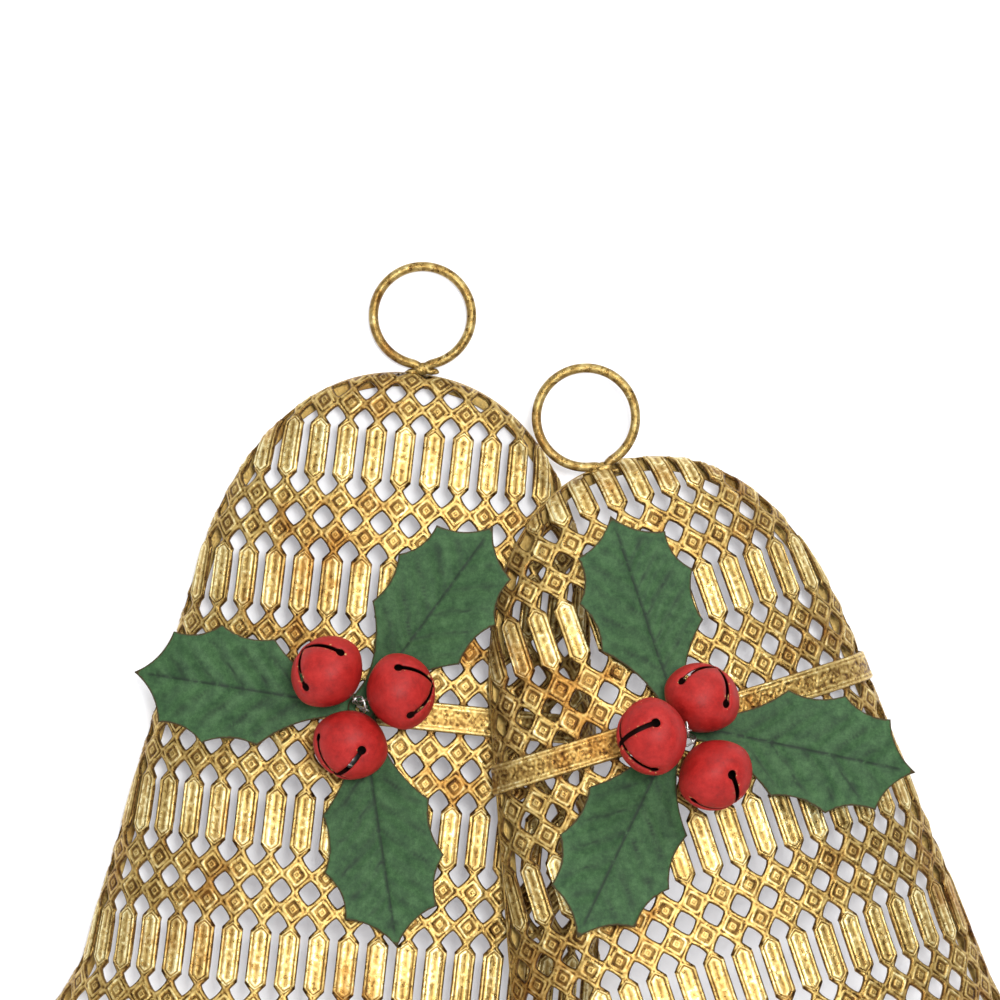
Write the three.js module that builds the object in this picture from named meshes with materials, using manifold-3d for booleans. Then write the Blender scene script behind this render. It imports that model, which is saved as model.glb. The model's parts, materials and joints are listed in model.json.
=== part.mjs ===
// Christmas bell ornament: two overlapping half-relief bells of pierced sheet metal, each with a hanging
// ring, embossed bands, three holly leaves, a cluster of three jingle bells and a clapper.
// Millimetres, +Z up, front towards -Y. The origin is where a hook bears on the left ring: the middle of its
// inner top facet.
import * as THREE from "three";
import { mergeVertices } from "three/addons/utils/BufferGeometryUtils.js";
import Module from "manifold-3d";

const wasm = await Module();
wasm.setup();

const GAP = 0.3;
const degrees = THREE.MathUtils.degToRad;

// ---------------------------------------------------------------- driving dimensions

// The large bell. The small one is the same shape, scaled.
const BELL_HEIGHT = 244;
const CAP_HALF_WIDTH = 56.6;
const CAP_HEIGHT = 80;
const CAP_POWER = 2.3;
const FLANK_SLOPE = 0.157;
const LIP_HEIGHT = 34;
const LIP_FLARE = 13;

// The pierced sheet. Holes stand in straight columns, and the rows alternate.
const SHEET = 0.9;
const COLUMN_STEP = 10;
const LONG_STEP = 23.5;
const SHORT_STEP = 11.4;
const DIAMOND_HALF_WIDTH = 3.6;
const DIAMOND_HALF_HEIGHT = 3.9;
const DUMBBELL_HALF_HEIGHT = 16;
const BULB_HALF_WIDTH = 3.4;
const BULB_HEIGHT = 8.2;
const SLOT_HALF_WIDTH = 1.5;
const SOLID_EDGE = 4.6;

// The flat strip behind the edge. The left bell's strip lies on the plane y = BACK.
const STRIP_WIDTH = 5;
const STRIP_THICKNESS = 1;
const BACK = 2.6;

// The embossed bands
const BAND_THICKNESS = 1.1;
const BAND_GAP = 0.45;
const BAND_STEPS = 26;
const WAIST_BAND_WIDTH = 10;
const MOUTH_BAND_WIDTH = 12;
const MOUTH_EDGE = 0.5;

// Hanging rings
const RING_RADIUS = 17;
const RING_WIRE = 1.65;
const RING_SIDES = 9;
const RING_STEPS = 28;
const RING_FOOT = [4.4, 2.4, 2.6];
const RING_FOOT_DROP = 1.7;

// Holly leaves
const LEAF_LENGTH = 76;
const LEAF_THICKNESS = 0.6;
const LEAF_SPACING = 1.1;
const LEAF_HOLE = 1.9;
const LEAF_FLAT = 8;

// Jingle bells: squat spheres, flatter towards the crown that carries the loop
const JINGLE_RADIUS = 13;
const JINGLE_NOSE = 12.4;
const JINGLE_CROWN = 10.8;
const JINGLE_WALL = 0.9;
const JINGLE_SLIT = 1.5;
const SLIT_START = 1.5;
const LOOP_RADIUS = 1.15;
const LOOP_WIRE = 0.35;
const PELLET_RADIUS = 3;
const PELLET_DROP = 5.5;

// The binding wire: half the distance between its legs, where they leave the leaves and where they turn
// towards the loops, how far above and below the band's middle they pass through the shell, and how far the
// wire runs on from a loop, in passing and where it turns back
const BINDING_WIRE = 0.4;
const LEG_GAP = 0.75;
const LEG_REACH = 6;
const LEAD_REACH = 9.5;
const LEG_STRADDLE = 7;
const LOOP_REACH = 0.9;
const TURN_REACH = 2.85;

// Clappers
const EYE_RADIUS = 2.4;
const EYE_WIRE = 0.7;
const CLAPPER_WIRE = 0.6;
const EYE_DROP = 9;
const EYE_BEHIND = 7;
const CLAPPER_SHANK = 10;
const CLAPPER_RADIUS = 9;

// Each bell: where its top stands, how it leans in degrees, how the pattern lies on it, and where its ring,
// leaves and jingle bells are. Jingle bells are listed in the order the binding wire reaches them.
const BELLS = {
  left: {
    scale: 1,
    top: [-0.8, BACK - STRIP_THICKNESS - GAP, -35.6],
    tilt: 7.25,
    yaw: 0,
    pitch: 0,
    depthAtTop: 0.32,
    depthGain: 0.14,
    patternTurn: 1,
    firstColumn: 2.46,
    firstRow: 12.8,
    rows: ["diamond", "dumbbell", "diamond", "dumbbell", "diamond", "diamond", "diamond", "diamond",
      "dumbbell", "diamond", "dumbbell", "diamond"],
    rowAboveBand: 5,
    clusterColumn: -9.4,
    leadDown: 0,
    ringCentre: [0, 0],
    ringFoot: 0,
    leaves: {
      upper: { angle: 54, layer: 2, droop: -6, stretch: 1 },
      side: { angle: 170.5, layer: 1, droop: 8, stretch: 1.04 },
      lower: { angle: -81.3, layer: 0, droop: 0, stretch: 1.075 },
    },
    clusterCentre: [0.7, -19.4, 2.8],
    jingles: {
      upper: { at: [-11.1, 0, 10.1], nose: [-0.68, -0.2, 0.68], spin: 0 },
      side: { at: [12.3, -1.4, 4], nose: [0.94, -0.2, 0.24], spin: 0 },
      lower: { at: [-3.6, 0, -13.1], nose: [-0.37, -0.33, -0.87], spin: 23 },
    },
  },
  right: {
    scale: 0.95,
    top: [68.9, BACK - 13, -65.6],
    tilt: -13.03,
    yaw: 14,
    pitch: -3.2,
    depthAtTop: 0.35,
    depthGain: 0.13,
    patternTurn: 3.76,
    firstColumn: -5.3,
    firstRow: 12.4,
    rows: ["dumbbell", "diamond", "dumbbell", "diamond", "diamond", "diamond", "diamond",
      "dumbbell", "diamond", "dumbbell", "diamond", "dumbbell"],
    rowAboveBand: 4,
    clusterColumn: -11.2,
    leadDown: 3,
    ringCentre: [56.3, BACK - 19, -51],
    ringFoot: 20,
    leaves: {
      upper: { angle: 106.9, layer: 2, droop: 0, stretch: 0.97 },
      side: { angle: -10.8, layer: 1, droop: 0, stretch: 1.08 },
      lower: { angle: -116.8, layer: 0, droop: 0, stretch: 1.06 },
    },
    clusterCentre: [2.1, -22.6, -2.9],
    jingles: {
      upper: { at: [5, 5.6, 12], nose: [0.44, -0.12, 0.88], spin: -5 },
      side: { at: [-11, -8.5, 0.8], nose: [-0.88, -0.42, -0.12], spin: -20 },
      lower: { at: [9.1, 0, -11.8], nose: [0.55, -0.1, -0.82], spin: 22 },
    },
  },
};

// ---------------------------------------------------------------- materials

const material = (color, roughness, metalness) =>
  new THREE.MeshStandardMaterial({ color, roughness, metalness });
const gold = () => material(0xc9a04e, 0.45, 0.9);
const darkGold = () => material(0x9c7636, 0.5, 0.9);
const green = () => material(0x2f6b45, 0.75, 0.1);
const red = () => material(0xc0222a, 0.6, 0.2);
const steel = () => material(0x8d8f92, 0.35, 1);

const root = new THREE.Group();

// Adds a named mesh to a group.
function piece(group, name, geometry, finish) {
  const mesh = new THREE.Mesh(geometry, finish);
  mesh.name = name;
  group.add(mesh);
  return mesh;
}

// ---------------------------------------------------------------- solids

function toSolid(geometry) {
  const bare = geometry.clone();
  bare.deleteAttribute("normal");
  bare.deleteAttribute("uv");
  const merged = mergeVertices(bare, 1e-4);
  return new wasm.Manifold(
    new wasm.Mesh({
      numProp: 3,
      vertProperties: merged.attributes.position.array,
      triVerts: new Uint32Array(merged.index.array),
    }),
  );
}

function toGeometry(solid) {
  const mesh = solid.getMesh();
  const geometry = new THREE.BufferGeometry();
  geometry.setAttribute("position", new THREE.BufferAttribute(mesh.vertProperties, 3));
  geometry.setIndex(new THREE.BufferAttribute(mesh.triVerts, 1));
  geometry.computeVertexNormals();
  return geometry;
}

const join = (...parts) => toGeometry(parts.map(toSolid).reduce((a, b) => a.add(b)));

// A round wire along a curve, with flat ends.
function wireAlong(curve, radius, steps, sides) {
  const section = new THREE.Shape();
  for (let i = 0; i < sides; i++) {
    const angle = (i / sides) * 2 * Math.PI;
    const corner = [radius * Math.cos(angle), radius * Math.sin(angle)];
    if (i === 0) section.moveTo(...corner);
    else section.lineTo(...corner);
  }
  return new THREE.ExtrudeGeometry(section, { steps, extrudePath: curve, bevelEnabled: false });
}

// ---------------------------------------------------------------- bent sheet

// True where swapping the shared edge a-b of two triangles for c-d makes them less thin.
function shouldSwap(a, b, c, d) {
  const side = (p, q, r) => (q.x - p.x) * (r.y - p.y) - (q.y - p.y) * (r.x - p.x);
  if (side(c, d, a) * side(c, d, b) >= -1e-9) return false;
  if (side(a, b, c) * side(a, b, d) >= -1e-9) return false;
  const angleAt = (p) => {
    const u = new THREE.Vector2().subVectors(a, p).normalize();
    const v = new THREE.Vector2().subVectors(b, p).normalize();
    return Math.acos(THREE.MathUtils.clamp(u.dot(v), -1, 1));
  };
  return angleAt(c) + angleAt(d) > Math.PI + 1e-6;
}

// Swaps shared edges until every triangle joins near neighbours, so that the sheet can bend.
function relax(points, triangles) {
  for (let pass = 0; pass < 60; pass++) {
    const owners = new Map();
    triangles.forEach((t, i) => {
      for (let k = 0; k < 3; k++) {
        const a = Math.min(t[k], t[(k + 1) % 3]);
        const b = Math.max(t[k], t[(k + 1) % 3]);
        const key = a * points.length + b;
        if (!owners.has(key)) owners.set(key, []);
        owners.get(key).push(i);
      }
    });
    const touched = new Set();
    for (const [key, pair] of owners) {
      if (pair.length !== 2 || touched.has(pair[0]) || touched.has(pair[1])) continue;
      const a = Math.floor(key / points.length);
      const b = key % points.length;
      const c = triangles[pair[0]].find((v) => v !== a && v !== b);
      const d = triangles[pair[1]].find((v) => v !== a && v !== b);
      if (!shouldSwap(points[a], points[b], points[c], points[d])) continue;
      triangles[pair[0]] = [c, a, d];
      triangles[pair[1]] = [c, d, b];
      pair.forEach((i) => touched.add(i));
    }
    if (!touched.size) break;
  }
}

// A flat outline with holes, bent into a closed sheet: place(point, under) says where a point of the flat
// sheet goes, "under" millimetres below its face.
function bentSheet(outline, holes, place, thickness) {
  const flat = [outline, ...holes].map((loop, i) =>
    THREE.ShapeUtils.isClockWise(loop) === i > 0 ? loop : [...loop].reverse(),
  );
  const points = flat.flat();
  // The triangles are chosen on a slightly curved copy, where no three corners stand in line.
  const curved = flat.map((loop) =>
    loop.map((v) => new THREE.Vector2(v.x + v.y * v.y * 1e-4, v.y + v.x * v.x * 1e-4)),
  );
  const corners = curved.flat();
  const triangles = THREE.ShapeUtils.triangulateShape(curved[0], curved.slice(1));
  relax(corners, triangles);
  const counter = (t) => {
    const [a, b, c] = t.map((i) => corners[i]);
    return (b.x - a.x) * (c.y - a.y) - (b.y - a.y) * (c.x - a.x) > 0;
  };
  const faces = triangles.map((t) => (counter(t) ? t : [t[0], t[2], t[1]]));
  const count = points.length;
  const positions = [0, thickness].flatMap((under) =>
    points.flatMap((point) => place(point, under).toArray()),
  );
  const index = faces.flatMap(([a, b, c]) => [a, b, c, a + count, c + count, b + count]);
  let start = 0;
  for (const loop of flat) {
    for (let i = 0; i < loop.length; i++) {
      const a = start + i;
      const b = start + ((i + 1) % loop.length);
      index.push(b, a, a + count, b, a + count, b + count);
    }
    start += loop.length;
  }
  const geometry = new THREE.BufferGeometry();
  geometry.setAttribute("position", new THREE.Float32BufferAttribute(positions, 3));
  geometry.setIndex(index);
  return facingOut(geometry);
}

// Turns a closed surface round if it faces inwards.
function facingOut(geometry) {
  const at = geometry.attributes.position;
  const corner = [new THREE.Vector3(), new THREE.Vector3(), new THREE.Vector3()];
  let volume = 0;
  for (let i = 0; i < geometry.index.count; i += 3) {
    corner.forEach((v, k) => v.fromBufferAttribute(at, geometry.index.getX(i + k)));
    volume += corner[0].dot(corner[1].clone().cross(corner[2]));
  }
  if (volume < 0) geometry.index.array.reverse();
  geometry.computeVertexNormals();
  return geometry;
}

// Values from low to high, closer together towards the ends, where a dome bends most.
function spread(low, high, steps) {
  const values = [];
  for (let i = 0; i <= steps; i++) {
    const even = (2 * i) / steps - 1;
    const share = (even + Math.sin((even * Math.PI) / 2)) / 2;
    values.push(low + ((high - low) * (share + 1)) / 2);
  }
  return values;
}

// ---------------------------------------------------------------- the bell's dome

// The dome of one bell, in its own frame: x across, z up from the top of the bell, front towards -y.
// A point of its flat sheet is (p, q): p millimetres across from the middle line, q millimetres down it.
class Dome {
  constructor(spec) {
    this.spec = spec;
    this.height = BELL_HEIGHT * spec.scale;
    this.heights = [];
    this.lengths = [];
    const steps = 400;
    let length = 0;
    for (let i = 0; i <= steps; i++) {
      const h = this.height * (i / steps) ** 2;
      if (i > 0) {
        const before = this.heights[i - 1];
        length += Math.hypot(h - before, this.depth(h) - this.depth(before));
      }
      this.heights.push(h);
      this.lengths.push(length);
    }
    this.length = length;
  }

  // Half the width of the bell, h below its top.
  halfWidth(h) {
    const g = h / this.spec.scale;
    const cap = 1 - Math.min(g / CAP_HEIGHT, 1);
    const lip = Math.max(0, (g - BELL_HEIGHT + LIP_HEIGHT) / LIP_HEIGHT);
    const round = CAP_HALF_WIDTH * (1 - cap ** CAP_POWER) ** (1 / CAP_POWER);
    return this.spec.scale * (round + FLANK_SLOPE * g + LIP_FLARE * lip ** 2);
  }

  depth(h) {
    const { depthAtTop, depthGain } = this.spec;
    return this.halfWidth(h) * (depthAtTop + (depthGain * h) / this.height);
  }

  // How far down a point of the middle line is, for its length q along the line.
  drop(q) {
    const i = this.lengths.findIndex((length) => length >= q);
    if (i < 0) return this.height;
    if (i === 0) return 0;
    const share = (q - this.lengths[i - 1]) / (this.lengths[i] - this.lengths[i - 1]);
    return THREE.MathUtils.lerp(this.heights[i - 1], this.heights[i], share);
  }

  // The angle round the half ellipse at h that lies p millimetres from its middle.
  angle(h, p) {
    const steps = 90;
    const w = this.halfWidth(h);
    const d = this.depth(h);
    let length = 0;
    for (let i = 0; i < steps; i++) {
      const t = ((i + 0.5) / steps) * (Math.PI / 2);
      const step = Math.hypot(w * Math.cos(t), d * Math.sin(t)) * (Math.PI / 2 / steps);
      if (length + step >= Math.abs(p)) {
        return (Math.sign(p) * (i + (Math.abs(p) - length) / step) * (Math.PI / 2)) / steps;
      }
      length += step;
    }
    return (Math.sign(p) * Math.PI) / 2;
  }

  // Half the length of the half ellipse at h.
  halfArc(h) {
    const steps = 90;
    let length = 0;
    for (let i = 0; i < steps; i++) {
      const t = ((i + 0.5) / steps) * (Math.PI / 2);
      length += Math.hypot(this.halfWidth(h) * Math.cos(t), this.depth(h) * Math.sin(t));
    }
    return (length * Math.PI) / 2 / steps;
  }

  normal(x, y, h) {
    const step = 0.02;
    const w = this.halfWidth(h);
    const d = this.depth(h);
    const low = Math.max(h - step, 0.001);
    const slopeW = (this.halfWidth(h + step) - this.halfWidth(low)) / (h + step - low);
    const slopeD = (this.depth(h + step) - this.depth(low)) / (h + step - low);
    const up = (x * x * slopeW) / w ** 3 + (y * y * slopeD) / d ** 3;
    return new THREE.Vector3(x / (w * w), y / (d * d), up).normalize();
  }

  // The point (p, q) of the sheet, raised above the dome's face.
  point(p, q, raised = 0) {
    const h = Math.max(this.drop(q), 0.02);
    const t = this.angle(h, p);
    const x = this.halfWidth(h) * Math.sin(t);
    const y = -this.depth(h) * Math.cos(t);
    return new THREE.Vector3(x, y, -h).addScaledVector(this.normal(x, y, h), raised);
  }

  // A point of the pattern, which is laid on the sheet with a small turn.
  pattern(across, down) {
    const turn = degrees(this.spec.patternTurn);
    const p = across * Math.cos(turn) + down * Math.sin(turn);
    const q = down * Math.cos(turn) - across * Math.sin(turn);
    return new THREE.Vector2(p, q);
  }

  // The outline of the flat sheet, from the top down one side, along the mouth and up the other side.
  outline() {
    const steps = 22;
    const side = [];
    for (let i = 1; i <= steps; i++) {
      const q = this.length * (i / steps) ** 1.5;
      side.push(new THREE.Vector2(this.halfArc(this.drop(q)), q));
    }
    const half = side[side.length - 1].x;
    const lip = spread(-half, half, BAND_STEPS).slice(1, -1).reverse()
      .map((p) => new THREE.Vector2(p, this.length));
    const other = side.map((v) => new THREE.Vector2(-v.x, v.y)).reverse();
    return [new THREE.Vector2(0, 0), ...side, ...lip, ...other];
  }

  // Where each row of the pattern lies, down the pattern.
  rowHeights() {
    const { rows, firstRow } = this.spec;
    const heights = [firstRow];
    for (let i = 1; i < rows.length; i++) {
      const short = rows[i] === "diamond" && rows[i - 1] === "diamond";
      heights.push(heights[i - 1] + (short ? SHORT_STEP : LONG_STEP));
    }
    return heights;
  }

  waistRow() {
    const rows = this.rowHeights();
    const { rowAboveBand } = this.spec;
    return (rows[rowAboveBand] + rows[rowAboveBand + 1]) / 2;
  }
}

// ---------------------------------------------------------------- the pierced shell

const diamond = [
  [0, -DIAMOND_HALF_HEIGHT],
  [DIAMOND_HALF_WIDTH, 0],
  [0, DIAMOND_HALF_HEIGHT],
  [-DIAMOND_HALF_WIDTH, 0],
];

const bulbMiddle = DUMBBELL_HALF_HEIGHT - BULB_HEIGHT / 2;
const bulbEnd = DUMBBELL_HALF_HEIGHT - BULB_HEIGHT;
const rightHalf = [
  [0, -DUMBBELL_HALF_HEIGHT],
  [BULB_HALF_WIDTH, -bulbMiddle],
  [SLOT_HALF_WIDTH, -bulbEnd],
  [SLOT_HALF_WIDTH, bulbEnd],
  [BULB_HALF_WIDTH, bulbMiddle],
];
const dumbbell = [...rightHalf, ...rightHalf.map(([x, y]) => [-x, -y])];

function distanceToOutline(point, outline) {
  let least = Infinity;
  const closest = new THREE.Vector3();
  for (let i = 0; i < outline.length; i++) {
    const a = outline[i];
    const b = outline[(i + 1) % outline.length];
    const line = new THREE.Line3(new THREE.Vector3(a.x, a.y, 0), new THREE.Vector3(b.x, b.y, 0));
    const at = new THREE.Vector3(point.x, point.y, 0);
    line.closestPointToPoint(at, true, closest);
    least = Math.min(least, closest.distanceTo(at));
  }
  return least;
}

// Every hole that leaves the edge solid. A dumbbell that doesn't fit keeps the bulb that does.
function holesOf(dome, outline) {
  const holes = [];
  const fits = (hole) =>
    hole.every((v) => {
      const inside = Math.abs(v.x) < dome.halfArc(dome.drop(v.y)) && v.y > 0 && v.y < dome.length;
      return inside && distanceToOutline(v, outline) > SOLID_EDGE;
    });
  const cut = (shape, across, down) => {
    const hole = shape.map(([x, y]) => dome.pattern(across + x, down + y));
    if (!fits(hole)) return false;
    holes.push(hole);
    return true;
  };
  dome.rowHeights().forEach((down, row) => {
    for (let column = -13; column <= 13; column++) {
      const across = dome.spec.firstColumn + column * COLUMN_STEP;
      if (dome.spec.rows[row] === "diamond") cut(diamond, across, down);
      else if (!cut(dumbbell, across, down)) {
        cut(diamond, across, down - bulbMiddle);
        cut(diamond, across, down + bulbMiddle);
      }
    }
  });
  return holes;
}

function shell(dome) {
  const outline = dome.outline();
  return bentSheet(outline, holesOf(dome, outline), (v, under) => dome.point(v.x, v.y, -under), SHEET);
}

// ---------------------------------------------------------------- strips and bands

// The flat strip behind the shell's edge, open at the mouth.
function rimStrip(dome) {
  const steps = 15;
  const outer = [];
  for (let i = -steps; i <= steps; i++) {
    const h = dome.height * Math.abs(i / steps) ** 1.8;
    outer.push(new THREE.Vector2(Math.sign(i) * dome.halfWidth(h), -h));
  }
  const inner = outer.map((v, i) => {
    const before = outer[Math.max(i - 1, 0)];
    const after = outer[Math.min(i + 1, outer.length - 1)];
    const along = new THREE.Vector2().subVectors(after, before).normalize();
    return new THREE.Vector2(v.x + along.y * STRIP_WIDTH, v.y - along.x * STRIP_WIDTH);
  });
  inner[0].y = outer[0].y;
  inner[inner.length - 1].y = outer[0].y;
  const shape = new THREE.Shape([...outer, ...inner.reverse()]);
  const strip = new THREE.ExtrudeGeometry(shape, { depth: STRIP_THICKNESS, bevelEnabled: false });
  strip.rotateX(Math.PI / 2);
  strip.translate(0, GAP + STRIP_THICKNESS, 0);
  return strip;
}

// An embossed band across the dome, from edge to edge.
function band(dome, middle, width, gap, turned) {
  const place = (across, down) =>
    turned ? dome.pattern(across, down) : new THREE.Vector2(across, down);
  const edgeOf = (down, side) => {
    let reach = 0;
    const step = 0.5;
    for (let across = 0; across < 200; across += step) {
      const v = place(side * across, down);
      if (Math.abs(v.x) > dome.halfArc(dome.drop(v.y)) - step) break;
      reach = across;
    }
    return reach;
  };
  const line = (down) => {
    const left = -edgeOf(down, -1);
    const right = edgeOf(down, 1);
    return spread(left, right, BAND_STEPS).map((across) => place(across, down));
  };
  const outline = [...line(middle - width / 2), ...line(middle + width / 2).reverse()];
  const raised = gap + BAND_THICKNESS;
  return bentSheet(outline, [], (v, under) => dome.point(v.x, v.y, raised - under), BAND_THICKNESS);
}

// ---------------------------------------------------------------- ring

// A wire ring with a foot of solder that reaches down to the shell. The ring's middle is the origin.
function ring(footAngle) {
  const loop = new THREE.TorusGeometry(RING_RADIUS, RING_WIRE, RING_SIDES, RING_STEPS);
  loop.rotateZ(Math.PI / RING_STEPS + Math.PI / 2);
  loop.rotateX(Math.PI / 2);
  const foot = new THREE.BoxGeometry(...RING_FOOT);
  foot.translate(0, 0, -RING_RADIUS - RING_FOOT_DROP);
  foot.rotateY(-degrees(footAngle));
  return join(loop, foot);
}

// The ring's inner top facet, above the ring's middle.
const ringInside =
  (RING_RADIUS - RING_WIRE * Math.cos(Math.PI / RING_SIDES)) * Math.cos(Math.PI / RING_STEPS);

// ---------------------------------------------------------------- holly leaf

// Spikes of one side, from the tip to the base, and how far the edge between them draws in.
const LEAF_SPIKES = [
  [LEAF_LENGTH, 0],
  [65, 15.7],
  [49.5, 20.4],
  [31.5, 18.3],
  [9, 4.5],
];
const LEAF_DRAW_IN = 3.2;

function leafOutline(stretch) {
  const side = [];
  for (let i = 0; i + 1 < LEAF_SPIKES.length; i++) {
    const from = new THREE.Vector2(...LEAF_SPIKES[i]);
    const to = new THREE.Vector2(...LEAF_SPIKES[i + 1]);
    const across = new THREE.Vector2().subVectors(to, from);
    const inward = new THREE.Vector2(across.y, -across.x).normalize();
    if (inward.y > 0) inward.negate();
    const middle = from.clone().lerp(to, 0.5).addScaledVector(inward, LEAF_DRAW_IN);
    const edge = new THREE.QuadraticBezierCurve(from, middle, to);
    side.push(...edge.getPoints(2).slice(0, -1));
  }
  const neck = LEAF_SPIKES[LEAF_SPIKES.length - 1];
  side.push(new THREE.Vector2(...neck));
  const base = new THREE.EllipseCurve(0, 0, neck[1], neck[1], Math.PI / 2, Math.PI * 1.5).getPoints(4);
  const other = side.slice(1).map((v) => new THREE.Vector2(v.x, -v.y)).reverse();
  return [...side, ...base, ...other].map((v) => new THREE.Vector2(v.x * stretch, v.y));
}

function leaf({ droop, stretch }) {
  const length = LEAF_LENGTH * stretch;
  const hole = new THREE.EllipseCurve(0, 0, LEAF_HOLE, LEAF_HOLE).getSpacedPoints(6).slice(0, 6);
  const place = (v, under) => {
    const along = Math.max(0, (v.x - LEAF_FLAT) / (length - LEAF_FLAT));
    return new THREE.Vector3(v.x, v.y, -droop * along ** 2 - under);
  };
  return bentSheet(leafOutline(stretch), [hole], place, LEAF_THICKNESS);
}

// ---------------------------------------------------------------- jingle bell

// The outside of a jingle bell is made with its nose towards +y, and "thinner" shrinks it for the inside.
function jingleBody(thinner, rings, around) {
  const profile = [];
  for (let i = 0; i <= rings; i++) {
    const angle = -Math.PI / 2 + (Math.PI * i) / rings;
    const end = angle > 0 ? JINGLE_NOSE : JINGLE_CROWN;
    const radius = i === 0 || i === rings ? 0 : (JINGLE_RADIUS - thinner) * Math.cos(angle);
    profile.push(new THREE.Vector2(radius, (end - thinner) * Math.sin(angle)));
  }
  return new THREE.LatheGeometry(profile, around);
}

// Two crossed slits run from the nose to near the widest part.
function jingle() {
  const slit = (turn) => {
    const blade = new THREE.BoxGeometry(JINGLE_SLIT, JINGLE_RADIUS, 3 * JINGLE_RADIUS);
    blade.translate(0, SLIT_START + JINGLE_RADIUS / 2, 0);
    blade.rotateY(turn);
    return toSolid(blade);
  };
  const body = toSolid(jingleBody(0, 8, 16))
    .subtract(toSolid(jingleBody(JINGLE_WALL, 6, 12)))
    .subtract(slit(Math.PI / 4))
    .subtract(slit(-Math.PI / 4));
  return toGeometry(body);
}

// ---------------------------------------------------------------- assembly of one bell

const vector = (list) => new THREE.Vector3(...list);
const forward = new THREE.Vector3(0, -1, 0);

// Turns +y to the given direction, then spins about it, with +z kept as near to the front as it goes.
function aim(object, direction, spin) {
  const nose = direction.clone().normalize();
  const front = forward.clone().addScaledVector(nose, -forward.dot(nose)).normalize();
  const right = new THREE.Vector3().crossVectors(nose, front);
  const basis = new THREE.Matrix4().makeBasis(right, nose, front);
  object.quaternion.setFromRotationMatrix(basis);
  object.rotateY(degrees(spin));
}

// The leaves lie on one another over the waist band, and radiate from the wire at "at".
function addLeaves(side, spec, at, out) {
  for (const [name, shape] of Object.entries(spec.leaves)) {
    const mesh = piece(root, `${side}_leaf_${name}`, leaf(shape), green());
    const angle = degrees(shape.angle);
    const along = new THREE.Vector3(Math.cos(angle), 0, Math.sin(angle));
    along.addScaledVector(out, -along.dot(out)).normalize();
    const across = new THREE.Vector3().crossVectors(out, along);
    const lowest = BAND_GAP + BAND_THICKNESS + 4 * GAP + 2 * BINDING_WIRE + LEAF_THICKNESS;
    mesh.quaternion.setFromRotationMatrix(new THREE.Matrix4().makeBasis(along, across, out));
    mesh.position.copy(at).addScaledVector(out, lowest + shape.layer * LEAF_SPACING);
  }
}

// Jingle bells, their crown loops and pellets. Returns where each loop is and which way its hole points.
function addJingles(side, spec, centre) {
  const loops = [];
  for (const [name, shape] of Object.entries(spec.jingles)) {
    const middle = centre.clone().add(vector(shape.at));
    const nose = vector(shape.nose).normalize();
    const body = piece(root, `${side}_jingle_${name}`, jingle(), red());
    body.position.copy(middle);
    aim(body, nose, shape.spin);
    const loop = new THREE.TorusGeometry(LOOP_RADIUS, LOOP_WIRE, 6, 10);
    const eye = piece(root, `${side}_jingle_loop_${name}`, loop, steel());
    const behind = JINGLE_CROWN + LOOP_RADIUS + LOOP_WIRE + GAP;
    eye.position.copy(middle).addScaledVector(nose, -behind);
    const through = new THREE.Vector3().crossVectors(nose, forward).normalize();
    const inLoop = new THREE.Vector3().crossVectors(through, nose);
    eye.quaternion.setFromRotationMatrix(new THREE.Matrix4().makeBasis(nose, inLoop, through));
    loops.push({ at: eye.position.clone(), through });
    const pellet = new THREE.SphereGeometry(PELLET_RADIUS, 8, 6);
    piece(root, `${side}_pellet_${name}`, pellet, steel()).position
      .copy(middle).add(new THREE.Vector3(0, 0, -PELLET_DROP));
  }
  return loops;
}

// The cluster stands on the waist band. Its binding wire comes up from behind the shell through the hole
// above the band, goes through the three crown loops, and returns through the hole below the band.
function addCluster(side, spec, dome, bell) {
  const on = (down, raised) => {
    const v = dome.pattern(spec.firstColumn + spec.clusterColumn, dome.waistRow() + down);
    return bell.localToWorld(dome.point(v.x, v.y, raised));
  };
  const at = on(0, 0);
  const out = on(0, 1).sub(at);
  addLeaves(side, spec, at, out);
  const loops = addJingles(side, spec, at.clone().add(vector(spec.clusterCentre)));

  const sideways = new THREE.Vector3().crossVectors(out, new THREE.Vector3(0, 0, 1)).normalize();
  const overBand = BAND_GAP + BAND_THICKNESS + GAP + BINDING_WIRE;
  const behind = -SHEET - 2 * GAP - BINDING_WIRE;
  const leg = (way) => [
    on(way * LEG_GAP + spec.leadDown, LEAD_REACH),
    on(way * LEG_GAP, LEG_REACH),
    on(way * 2, overBand),
    on(way * 5.2, overBand),
    on(way * LEG_STRADDLE, 0),
    on(way * (LEG_STRADDLE - 0.6), behind),
    on(way * -2.5, behind).addScaledVector(sideways, way * 2 * BINDING_WIRE),
  ];
  const path = leg(-1).reverse();
  const stops = [[0, -LOOP_REACH], [0, LOOP_REACH], [1, -LOOP_REACH], [1, TURN_REACH], [2, TURN_REACH],
    [2, -LOOP_REACH]];
  for (const [index, reach] of stops) {
    path.push(loops[index].at.clone().addScaledVector(loops[index].through, reach));
  }
  path.push(...leg(1));
  const curve = new THREE.CatmullRomCurve3(path, false, "centripetal");
  piece(root, `${side}_cluster_wire`, wireAlong(curve, BINDING_WIRE, 64, 6), steel());
}

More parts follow.
